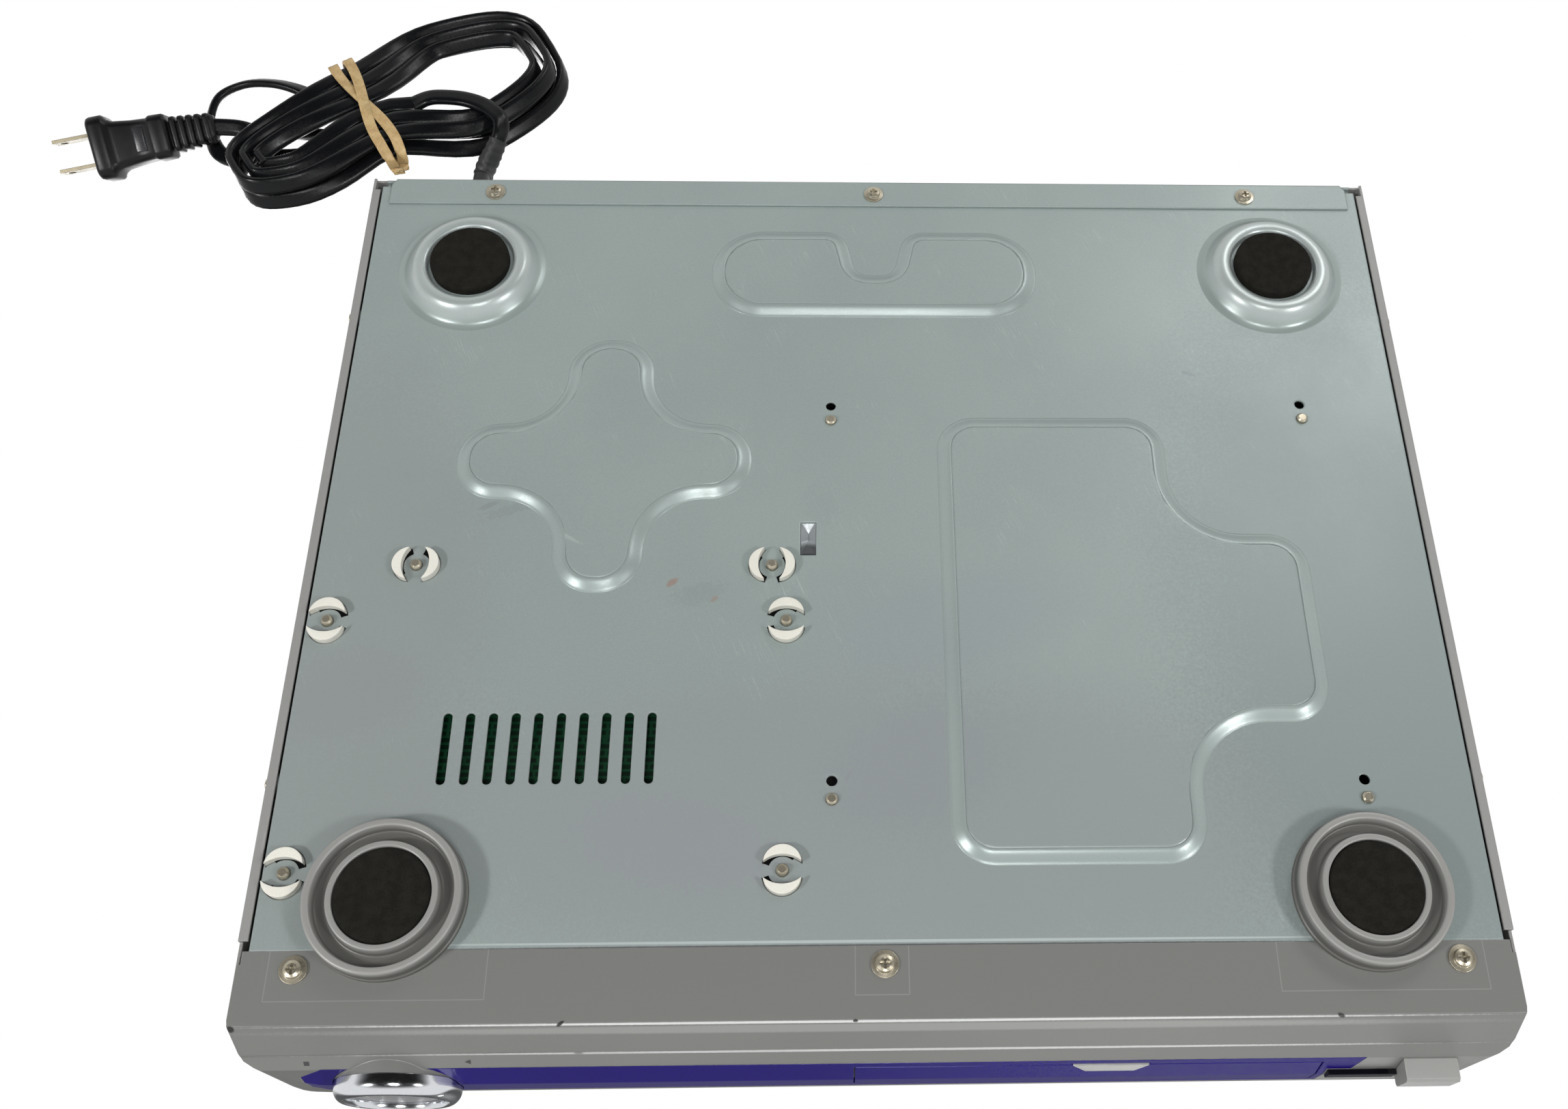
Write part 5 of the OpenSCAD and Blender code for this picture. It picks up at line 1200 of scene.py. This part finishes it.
    def band_mesh(self) -> bpy.types.Mesh:
        """The rubber band: a ribbon that runs round the waist twice, twists and crosses itself."""
        loop = evenly(spline([Vector(c) for c in self.band_loop], 12), self.band_samples)
        rings, n, total = [], len(loop), self.band_turns * len(loop)
        pitch = sum((b - a).length for a, b in zip(loop, loop[1:])) / (n - 1)
        heading = math.radians(self.hank.heading)
        along = Vector((math.cos(heading), math.sin(heading), 0))
        over = Vector((math.sin(heading), -math.cos(heading), 0))
        middle = Vector((*self.hank.at, 0))
        for i in range(total):
            u = i / total - self.band_phase
            q, z = loop[i % n]
            ahead = (loop[(i + 1) % n] - loop[i % n - 1]).normalized()
            away = Vector((ahead[1], -ahead[0]))
            room = self.band_room if away[1] < -0.5 else 1.0
            twist = math.sin(2 * math.pi * self.band_twists * u + self.band_start)
            twist *= room * math.radians(self.band_twist)
            steady, sway, edge = self.band_lift
            lift = room * (steady + sway * math.cos(2 * math.pi * u))
            lift += edge * self.band_half * abs(math.sin(twist))
            rate = 2 * math.pi * self.band_sways
            p = self.hank.waist_at + self.band_sway * math.sin(rate * u)
            slope = self.band_sway * math.cos(rate * u) * rate / (total * pitch)
            here = middle + along * p + over * (q + away[0] * lift) + Vector((0, 0, z + away[1] * lift))
            way = (over * ahead[0] + Vector((0, 0, ahead[1])) + along * slope).normalized()
            wide = (over * away[0] + Vector((0, 0, away[1]))).cross(way).normalized()
            out = way.cross(wide)
            c, s = math.cos(twist), math.sin(twist)
            w, t = self.band_half, self.band_thick
            section = [
                (-w, -t * 0.6), (-w * 0.6, -t), (0, -t * 0.9), (w * 0.6, -t), (w, -t * 0.6),
                (w, t * 0.6), (w * 0.6, t), (0, t * 0.7), (-w * 0.6, t), (-w, t * 0.6),
            ]
            turned = [(x * c - y * s, x * s + y * c) for x, y in section]
            rings.append([(here + wide * x + out * y) * MM for x, y in turned])
        return rings_mesh("band", rings, closed=True)

    def build(self) -> None:
        route = self.route()
        metres = [p.to_3d() * MM for p in route]
        length = sum((b - a).length for a, b in zip(metres, metres[1:]))
        LOG.info("the cord's route is %.3f m long", length)
        piece = self.shop.piece
        cord = piece(
            "power_cord", self.cord_mesh(route), CORD, "housing", "cord_vinyl", "cord_lead", "cord_hank",
            "cord_tail", crease=60,
        )
        plug = piece("plug_grip", self.plug.body(), PLUG, "housing", "plug_vinyl", "plug_body", crease=50)
        pads = [
            piece(f"plug_pad_{n}", self.plug.grip(side), PAD_SHEEN, "housing", "plug_vinyl", crease=50)
            for n, side in (("above", 1), ("below", -1))
        ]
        band, relief = self.band_mesh(), self.relief_mesh(route)
        band = piece("waist_band", band, LATEX, "housing", "band_rubber", "rubber_band", crease=70)
        piece("cord_relief", relief, BLACK, "housing", "cord_vinyl", "cord_gland", crease=50)
        self.shop.dress(BLADE, "plug_blades")
        tuple(metres[0])
        [tuple(p) for p in metres]


@dataclass
class Feet:
    """The four feet: moulded rings in front, drawn dishes behind, and a felt pad in each.

    Profiles hold radii and heights above the floor.
    """

    shop: Workshop
    foot_x: float = 168.2
    front_y: float = 16.6
    rear_y: float = 283.0
    pad_r: float = 16.3
    pad_t: float = 4.0
    pad_steps: int = 72
    ring_steps: int = 120
    dish_steps: int = 96
    ring_profile: tuple[Pair, ...] = (
        (0, 4.0), (16.45, 4.0), (16.5, 0.95), (16.62, 0.62), (16.9, 0.44), (17.2, 0.4), (18.1, 0.4),
        (18.42, 0.47), (18.62, 0.66), (18.75, 1.0), (19.0, 2.6), (19.25, 4.2), (19.5, 4.55),
        (19.9, 4.65), (22.8, 4.65), (23.15, 4.55), (23.35, 4.2), (23.6, 2.6), (23.85, 1.1), (24.0, 0.72),
        (24.3, 0.48), (24.7, 0.4), (25.7, 0.4), (26.15, 0.5), (26.45, 0.78), (26.58, 1.2), (26.62, 2.6),
        (26.66, 6.1), (26.72, 6.55), (26.95, 6.75), (27.2, 6.85), (27.3, 7.1), (27.3, 8.46), (4.0, 8.48),
        (4.0, 13.5), (0, 13.5),
    )
    dish_curve: tuple[Pair, ...] = (
        (31.4, 8.52), (29.8, 8.36), (27.9, 7.5), (26.0, 5.4), (24.4, 3.2), (22.7, 1.8), (20.9, 1.42),
        (19.2, 1.7), (18.1, 2.5), (17.5, 4.2),
    )
    dish_back: tuple[Pair, ...] = (
        (18.4, 4.6), (20.5, 2.2), (22.4, 2.5), (25.2, 5.6), (28.0, 8.4), (31.0, 9.0),
    )

    def pad_mesh(self, at: Vector) -> bpy.types.Mesh:
        """A felt pad with a rounded rim and a slightly hollow face."""
        r, t = self.pad_r - 0.05, self.pad_t
        profile = [
            (0, 0.12), (r * 0.5, 0.08), (r * 0.8, 0.0), (r - 1.2, 0.02), (r - 0.45, 0.22), (r - 0.1, 0.7),
            (r, 1.4), (r, t - 0.1), (r - 0.2, t), (0, t),
        ]
        return lathe_mesh("pad", profile, at, self.pad_steps)

    def dish_mesh(self, at: Vector) -> bpy.types.Mesh:
        """The skin of a rear foot, drawn out of the plate with soft bends."""
        profile = [*[tuple(p) for p in spline([Vector(c) for c in self.dish_curve], 5)], *self.dish_back]
        rings = []
        for k in range(self.dish_steps):
            a = 2 * math.pi * k / self.dish_steps
            c, s = math.cos(a), math.sin(a)
            rings.append([at + Vector((r * c, r * s, z)) * MM for r, z in profile])
        return rings_mesh("dish", rings, closed=True)

    def build(self) -> None:
        """Builds the moulded rings, the drawn dishes and the pads."""
        piece = self.shop.piece
        for end, y in (("front", self.front_y), ("rear", self.rear_y)):
            for side, x in (("left", -self.foot_x), ("right", self.foot_x)):
                at, foot = Vector((x, y + SEAM_Y, 0)) * MM, f"{end}_{side}"
                if end == "front":
                    ring = lathe_mesh("ring", self.ring_profile, at, self.ring_steps)
                    node = f"front_foot_{side}"
                    piece(f"{foot}_ring", ring, FOOT, "housing", "bezel_plastic", node, crease=55)
                else:
                    piece(f"{foot}_dish", self.dish_mesh(at), DISH, "housing", "plate_steel", crease=80)
                pad = self.pad_mesh(at)
                piece(f"{foot}_felt", pad, FELT, "housing", "foot_pads", f"{foot}_pad", crease=60)


@dataclass(frozen=True)
class Corner:
    """A corner of a stamped panel's outline: where it is and its radius."""

    x: float
    y: float
    r: float


@dataclass
class StampedPanel:
    """One panel stamped out of the bottom plate, given by the corners of its outline."""

    name: str
    corners: tuple[Corner, ...]
    outset: float = 1.6
    reach: float = 5.7
    height: float = 2.22
    back: float = 0.6
    steps: int = 12

    def outline(self, inset: float) -> list[Vector]:
        """The outline drawn in, with rounded corners.

        Args:
            inset: millimetres inwards; outwards where it is less than 0.

        Returns:
            The points of the outline.
        """
        n, moved, turns = len(self.corners), [], []
        for i, corner in enumerate(self.corners):
            p = Vector((corner.x, corner.y))
            before, after = self.corners[i - 1], self.corners[(i + 1) % n]
            u = (p - Vector((before.x, before.y))).normalized()
            v = (Vector((after.x, after.y)) - p).normalized()
            turn = 1 if u.x * v.y - u.y * v.x > 0 else -1
            left_u, left_v = Vector((-u.y, u.x)), Vector((-v.y, v.x))
            q = p + inset * (left_u + left_v) / (1 + left_u.dot(left_v))
            moved.append((q, u, left_u, turn, max(corner.r - turn * inset, 0.5)))
            turns.append(math.acos(max(-1.0, min(1.0, u.dot(v)))))
        points = []
        for (q, u, left, turn, r), bend in zip(moved, turns):
            centre = q - r * math.tan(bend / 2) * u + turn * r * left
            for k in range(self.steps + 1):
                a = turn * bend * k / self.steps
                points.append(centre - turn * r * (left * math.cos(a) - u * math.sin(a)))
        return points

    def wall_mesh(self) -> bpy.types.Mesh:
        """The wall round the panel, as one smooth double bend."""
        steps = self.steps
        curve = [
            (-self.outset + self.reach * k / steps, -self.height * smooth_step(k / steps))
            for k in range(steps + 1)
        ]
        curve[0], curve[-1] = (curve[0][0], 0.03), (curve[-1][0], curve[-1][1] + 0.05)
        section = [*curve, (curve[-1][0], self.back - self.height), (-self.outset + 0.4, self.back)]
        rows = [[on_player(p.x, p.y, z) for p in self.outline(inset)] for inset, z in section]
        return rings_mesh(self.name, rows, closed=True)


def cross_corners(
    x: float, y: float, reach: float, half: float, end: float, valley: float,
) -> tuple[Corner, ...]:
    """Corners of the rounded cross.

    Args:
        x: its middle across the player.
        y: its middle behind the seam.
        reach: how far each arm reaches.
        half: half the width of an arm.
        end: radius at the corners of an arm's end.
        valley: radius of the corner between two arms.

    Returns:
        Its twelve corners.
    """
    made = []
    for c, s in ((1, 0), (0, 1), (-1, 0), (0, -1)):
        made += [
            Corner(x + reach * c + half * s, y + reach * s - half * c, end),
            Corner(x + reach * c - half * s, y + reach * s + half * c, end),
            Corner(x + half * (c - s), y + half * (s + c), valley),
        ]
    return tuple(made)


# The three panels that are stamped out of the plate, measured as on_player takes them.
PANELS: tuple[StampedPanel, ...] = (
    StampedPanel("pill_wall", tuple(Corner(*c) for c in (
        (-67, 261, 20), (67, 261, 20), (67, 303, 20), (14, 303, 9), (9, 280, 8), (-9, 280, 8),
        (-14, 303, 9), (-67, 303, 20),
    ))),
    StampedPanel("cross_wall", cross_corners(107, 190, 56.2, 15.8, 15, 24)),
    StampedPanel("loader_wall", tuple(Corner(*c) for c in (
        (-113, 28.5, 14), (-25, 28.5, 14), (-25, 209, 14), (-113, 209, 14), (-113, 156, 28),
        (-164, 156, 14), (-164, 81, 14), (-113, 81, 28),
    ))),
)


@dataclass
class Housing:
    """The sheet-metal box and what is fastened to it from outside."""

    shop: Workshop
    slot_x: float = 27.0
    slot_y: float = 156.0
    slot_w: float = 6.0
    slot_l: float = 15.4
    tongue_low: float = 0.9
    tongue_t: float = 0.6
    slot_shade_arc: float = 56.0
    slot_shade_steps: int = 12
    slot_shade_turns: Pair = (15, -13)
    slot_shade_section: tuple[Pair, ...] = ((5.0, -0.01), (7.6, -0.01), (7.6, -0.04), (5.0, -0.04))
    supports: tuple[Point, ...] = (
        (EDGE_X - 37.3, 144.1, 0), (40.6, 143.8, 0), (EDGE_X - 7.6, 120.9, 90), (34.9, 120.6, 90),
        (EDGE_X - 7.3, 26.1, 90), (34.9, 25.9, 90),
    )

    def build(self) -> None:
        """Dresses the plate, the cover, the rear panel, the screws and the supports."""
        self.shop.dress(PLATE, "bottom_plate", "rear_panel")
        self.shop.dress(COVER, "top_cover")
        self.shop.dress(NICKEL, "bezel_screws", "rear_screws", "cover_screws", "chassis_screws")
        self.shop.dress(NICKEL, "loader_posts")
        self.shop.dress(NYLON, "board_supports")
        self.shop.dress(JACKS, "rear_jacks")
        for panel in PANELS:
            self.shop.piece(panel.name, panel.wall_mesh(), WALL, "housing", "plate_steel", crease=80)
        self.shop.piece("lanced_tongue", self.tongue_mesh(), TONGUE, "housing", "plate_steel", crease=12)
        # Dark skins of painted shade where the support slots stand open.
        for i, (x, y, turn) in enumerate(self.supports):
            for side in (0, 1):
                ends = self.slot_shade_mesh(x, y, turn + 180 * side + self.slot_shade_turns[(i + side) % 2])
                name = f"support_slot_shade_{2 * i + side + 1}"
                self.shop.piece(name, ends, SLOT_SHADE, "housing", "plate_steel", crease=50)

    def slot_shade_mesh(self, x: float, y: float, turn: float) -> bpy.types.Mesh:
        """Painted shade where a support's foot leaves a curved slot open, as a dark skin on the plate.

        Args:
            x: the support's middle, in millimetres to the right.
            y: the support's middle, in millimetres behind the seam.
            turn: the direction of the slot from that middle, in degrees.

        Returns:
            The skin's mesh.
        """
        rings = []
        for k in range(self.slot_shade_steps + 1):
            a = math.radians(turn + self.slot_shade_arc * (2 * k / self.slot_shade_steps - 1))
            c, s = math.cos(a), math.sin(a)
            rings.append([on_player(x + r * c, y + r * s, z) for r, z in self.slot_shade_section])
        return rings_mesh("slot", rings)

    def tongue_mesh(self) -> bpy.types.Mesh:
        """The lanced tongue in the small slot: a long slope, and a hipped end that meets it."""
        half, low = self.slot_w / 2 - 0.05, self.tongue_low
        front, rear = self.slot_y - self.slot_l / 2 + 0.1, self.slot_y + self.slot_l / 2 - 0.1
        shape = [
            (-half, front, low), (half, front, low), (half, rear, low), (-half, rear, low),
            (0.0, rear - 4.6, low + 2.1), (-half, rear - 8.6, low + 1.5), (half, rear - 8.6, low + 1.5),
            (0.0, rear - 7.0, low + 2.6),
        ]
        n = len(shape)
        lifts = (0.0, self.tongue_t)
        points = [on_player(self.slot_x + x, y, z + up) for up in lifts for x, y, z in shape]
        under = [(3, 2, 4), (3, 4, 5), (2, 6, 4), (4, 7, 5), (4, 6, 7), (0, 5, 7), (0, 7, 1), (1, 7, 6)]
        over = [tuple(k + n for k in f[::-1]) for f in under]
        rim = [0, 1, 6, 2, 3, 5]
        sides = [(a, b, b + n, a + n) for a, b in zip(rim, rim[1:] + rim[:1])]
        return mesh_of("tongue", points, [*under, *over, *sides])


@dataclass
class Fascia:
    """The bezel with its tinted band, its buttons and the ring with the four-way disc."""

    shop: Workshop
    slope_low: Pair = (-32.0, 12.7)
    slope_high: Pair = (-35.5, 17.5)
    ink_lift: float = 0.03
    ink_t: float = 0.03
    ring_at: Point = (166.0, -38.5, 34.5)
    ring_curve: tuple[Pair, ...] = (
        (21.3, 0.3), (21.26, 1.6), (21.02, 2.7), (20.5, 3.75), (19.75, 4.65), (19.0, 5.2), (18.35, 5.46),
        (17.8, 5.36), (17.38, 4.8), (17.14, 3.9), (17.03, 2.9),
    )
    ring_back: tuple[Pair, Pair] = ((21.25, -1.35), (17.05, -1.35))
    ring_steps: int = 144

    def on_slope(self, x: float, v: float, lift: float) -> Vector:
        """A point on the narrow slope under the tinted band.

        Args:
            x: place across the fascia, in millimetres.
            v: millimetres up the slope from its middle.
            lift: millimetres off the surface.

        Returns:
            The point in metres.
        """
        low, high = Vector(self.slope_low), Vector(self.slope_high)
        up = (high - low).normalized()
        out = Vector((-up[1], up[0]))
        here = (low + high) / 2 + up * v + out * lift
        return on_player(x, here[0], here[1])

    def ring_mesh(self) -> bpy.types.Mesh:
        """The plated ring round the four-way disc, as one smooth bead."""
        bead = [tuple(p) for p in spline([Vector(c) for c in self.ring_curve], 3)]
        curve = [self.ring_back[0], *bead, self.ring_back[1]]
        x, y, z = self.ring_at
        rings = []
        for k in range(self.ring_steps):
            a = 2 * math.pi * k / self.ring_steps
            c, s = math.cos(a), math.sin(a)
            rings.append([on_player(x + r * c, y - out, z + r * s) for r, out in curve])
        return rings_mesh("ring", rings, closed=True)

    def print_shape(self, name: str, outline: Sequence[Pair], at_x: float) -> None:
        """Prints a small symbol on the slope as a thin layer of ink.

        Args:
            name: the piece's name.
            outline: the symbol's corners, across and up the slope.
            at_x: where its middle is across the fascia.
        """
        lifts = (self.ink_lift, self.ink_lift + self.ink_t)
        rings = [[self.on_slope(at_x + x, v, lift) for x, v in outline] for lift in lifts]
        self.shop.piece(name, rings_mesh(name, rings), INK, "housing", "switch_plastic", crease=20)

    def build(self) -> None:
        """Dresses the fascia's pieces and prints plain symbols by the controls."""
        shop = self.shop
        shop.dress(BEZEL, "front_bezel")
        shop.dress(WINDOW, "display_window", "tray_door")
        shop.dress(SENSOR, "sensor_window")
        shop.dress(BUTTON, "power_button", "open_close_button")
        shop.piece("ring_rim", self.ring_mesh(), CHROME, "housing", "ring_chrome", "control_ring", crease=50)
        shop.dress(DISC, "control_disc")
        shop.dress(BLACK, "control_carrier", "push_switches")
        self.print_shape("symbol_play", [(-1.0, -1.0), (1.0, 0.0), (-1.0, 1.0)], 139.0)
        self.print_shape("symbol_stop", [(-0.9, -0.9), (0.9, -0.9), (0.9, 0.9), (-0.9, 0.9)], 192.0)


@dataclass
class Interior:
    """Boards and the disc loader, which show through the slots and when the tray is out."""

    shop: Workshop

    def build(self) -> None:
        """Dresses every piece inside the housing."""
        shop = self.shop
        shop.dress(BOARD, "main_board", "jack_board", "front_board")
        shop.dress(TRANSFORMER, "transformer")
        shop.dress(SLEEVE, "capacitors")
        shop.dress(ALUMINIUM, "heat_sink")
        shop.dress(CHIP, "board_chips", "display_module")
        shop.dress(BLACK, "loader_frame", "turntable", "pickup_sled", "traverse_frame")
        shop.dress(TRAY, "disc_tray")
        shop.dress(BRIDGE, "clamp_bridge")
        shop.dress(ACETAL, "disc_clamp", "tray_gear", "loading_pulley", "feed_gear")
        shop.dress(CAN, "spindle_motor", "feed_motor", "loading_motor", "sled_rails")
        shop.dress(BRASS, "feed_pinion", "motor_pulley")
        shop.dress(LENS, "pickup_lens")
        shop.dress(BELT, "loading_belt")


@dataclass(frozen=True)
class Lamp:
    """A round soft lamp: its name, place, diameter and power, and what it looks at."""

    name: str
    at: Point
    to: Point
    size: float
    watts: float


@dataclass(frozen=True)
class Card:
    """A dark card that only reflections show: half its sides, its shade, and where it grows white."""

    name: str
    at: Point
    half: Pair
    shade: float
    fade: float


@dataclass
class Studio:
    """The camera, the pale floor, the world, the cards and the lamps."""

    sensor: float = 36.0
    focal_px: float = 2215.1
    width_px: float = 2296.0
    offset_px: Pair = (151.5, 9.6)
    tilt: Point = (-0.4755, 0.0331, 0.0011)
    eye: Point = (-15.85, -118.16, 512.56)
    ambient: float = 0.28
    floor_half: float = 6.0
    floor_fade: Pair = (0.35, 1.05)
    cards: tuple[Card, ...] = (
        Card("card_above", (0, -1.15, 0.95), (1.8, 1.3), 0.12, 0.75),
        Card("card_below", (0, -0.3, -1.8), (6.0, 2.9), 0.012, 0.3),
    )
    lamps: tuple[Lamp, ...] = (
        Lamp("middle_below", (-0.02, -0.85, -1.7), (0, 0, 0.02), 0.45, 11.0),
        Lamp("left_below", (-1.1, -0.68, -1.05), (0, 0, 0.02), 0.22, 9.2),
        Lamp("right_below", (1.15, -0.68, -1.05), (0, 0, 0.02), 0.22, 12.6),
        Lamp("rear_below", (-0.7, 0.9, -1.1), (0, 0.05, 0.02), 0.5, 4),
        Lamp("front_above", (-0.5, -1.1, 1.2), (0, -0.05, 0.05), 0.8, 14.5),
        Lamp("rear_above", (0.7, 1.0, 1.1), (0, 0.05, 0.05), 1.0, 9.5),
    )

    def camera(self) -> None:
        """Sets the camera where the photograph was taken, below the front edge."""
        data = bpy.data.cameras.new("photo_camera")
        data.sensor_width = self.sensor
        data.lens = self.focal_px / self.width_px * self.sensor
        data.shift_x = -self.offset_px[0] / self.width_px
        data.shift_y = self.offset_px[1] / self.width_px
        data.clip_start, data.clip_end = 0.01, 20.0
        turn = Matrix.Rotation(self.tilt[2], 3, "Z") @ Matrix.Rotation(self.tilt[1], 3, "Y")
        turn = turn @ Matrix.Rotation(self.tilt[0], 3, "X")
        flip = Matrix(((-1, 0, 0), (0, 1, 0), (0, 0, -1)))
        place = flip @ Vector(self.eye) + Vector((0, SEAM_Y, PLATE_Z))
        obj = bpy.data.objects.new("photo_camera", data)
        obj.matrix_world = Matrix.Translation(place * MM) @ (flip @ turn.transposed()).to_4x4()
        bpy.context.scene.collection.objects.link(obj)
        bpy.context.scene.camera = obj

    def world(self) -> None:
        """A white surround for what is seen or mirrored, and a dimmer one for the light that it sheds."""
        world = bpy.data.worlds.new("studio")
        bpy.context.scene.world = world
        world.use_nodes = True
        w = Wiring(world.node_tree)
        seen = world.node_tree.nodes["Background"]
        seen.inputs["Color"].default_value = (1, 1, 1, 1)
        seen.inputs["Strength"].default_value = 1.0
        shed = w.add("Background")
        shed.inputs["Color"].default_value = (0.97, 0.985, 1, 1)
        shed.inputs["Strength"].default_value = self.ambient
        ray = w.add("LightPath")
        direct = w.maths("MAXIMUM", ray.outputs["Is Camera Ray"], ray.outputs["Is Glossy Ray"])
        mix = w.add("MixShader")
        w.join(w.maths("MAXIMUM", direct, ray.outputs["Is Transmission Ray"]), mix.inputs[0])
        w.join(shed.outputs[0], mix.inputs[1])
        w.join(seen.outputs[0], mix.inputs[2])
        w.join(mix.outputs[0], world.node_tree.nodes["World Output"].inputs["Surface"])

    def floor(self) -> None:
        """A pale floor that fades into the white surround and is open to views from below."""
        material = bpy.data.materials.new("Floor")
        material.use_nodes = True
        w = Wiring(material.node_tree)
        shader = material.node_tree.nodes["Principled BSDF"]
        shader.inputs["Base Color"].default_value = (0.9, 0.9, 0.9, 1)
        shader.inputs["Roughness"].default_value = 0.85
        shader.inputs["Specular IOR Level"].default_value = 0.1
        white = w.add("Emission")
        clear = w.add("BsdfTransparent")
        far = w.add("MixShader")
        w.join(w.span(w.vector("LENGTH", w.here()), *self.floor_fade), far.inputs[0])
        w.join(shader.outputs[0], far.inputs[1])
        w.join(white.outputs[0], far.inputs[2])
        above = w.maths("SUBTRACT", 1.0, w.add("NewGeometry").outputs["Backfacing"])
        shown = w.maths("MULTIPLY", w.add("LightPath").outputs["Is Camera Ray"], above)
        mix = w.add("MixShader")
        w.join(shown, mix.inputs[0])
        w.join(clear.outputs[0], mix.inputs[1])
        w.join(far.outputs[0], mix.inputs[2])
        w.join(mix.outputs[0], material.node_tree.nodes["Material Output"].inputs["Surface"])
        self.sheet("floor", (0.0, 0.0, 0.0), (self.floor_half, self.floor_half), material)

    @staticmethod
    def sheet(name: str, at: Point, half: Pair, material: bpy.types.Material) -> bpy.types.Object:
        """Adds a flat sheet that belongs to the studio.

        Args:
            name: its name.
            at: its middle, in metres.
            half: half its width and half its depth.
            material: its material.

        Returns:
            The sheet.
        """
        x, y = half
        mesh = bpy.data.meshes.new(name)
        mesh.from_pydata([(-x, -y, 0), (x, -y, 0), (x, y, 0), (-x, y, 0)], [], [(0, 1, 2, 3)])
        mesh.materials.append(material)
        obj = bpy.data.objects.new(name, mesh)
        obj.location = at
        bpy.context.scene.collection.objects.link(obj)
        return obj

    @staticmethod
    def light(lamp: Lamp) -> None:
        """Adds a lamp that the camera doesn't see."""
        data = bpy.data.lights.new(lamp.name, "AREA")
        data.shape, data.size, data.energy = "DISK", lamp.size, lamp.watts
        obj = bpy.data.objects.new(lamp.name, data)
        obj.location = lamp.at
        obj.rotation_mode = "QUATERNION"
        obj.rotation_quaternion = (Vector(lamp.to) - Vector(lamp.at)).to_track_quat("-Z", "Y")
        obj.visible_camera = False
        bpy.context.scene.collection.objects.link(obj)

    def hang(self, card: Card) -> None:
        """Hangs a card that grows white towards its border, for reflections alone."""
        material = bpy.data.materials.new(card.name)
        material.use_nodes = True
        w = Wiring(material.node_tree)
        away = w.vector("LENGTH", w.vector("DIVIDE", w.here(), (*card.half, 1.0)))
        glow = w.add("Emission")
        w.join(w.span(away, card.fade, 1.0, card.shade, 1.0), glow.inputs["Strength"])
        w.join(glow.outputs[0], material.node_tree.nodes["Material Output"].inputs["Surface"])
        obj = self.sheet(card.name, card.at, card.half, material)
        obj.visible_camera = obj.visible_diffuse = obj.visible_shadow = obj.visible_transmission = False

    def build(self) -> None:
        """Builds the studio."""
        bpy.context.scene.view_settings.view_transform = "Standard"
        self.camera()
        self.world()
        self.floor()
        for card in self.cards:
            self.hang(card)
        for lamp in self.lamps:
            self.light(lamp)


def main() -> None:
    """Builds the studio and every piece of the player in order."""
    logging.basicConfig(level=logging.INFO, format="%(name)s: %(message)s")
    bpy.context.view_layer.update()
    shop = Workshop()
    Studio().build()
    PowerCord(shop).build()
    Feet(shop).build()
    Housing(shop).build()
    Fascia(shop).build()
    Interior(shop).build()


if __name__ == "__main__":
    main()
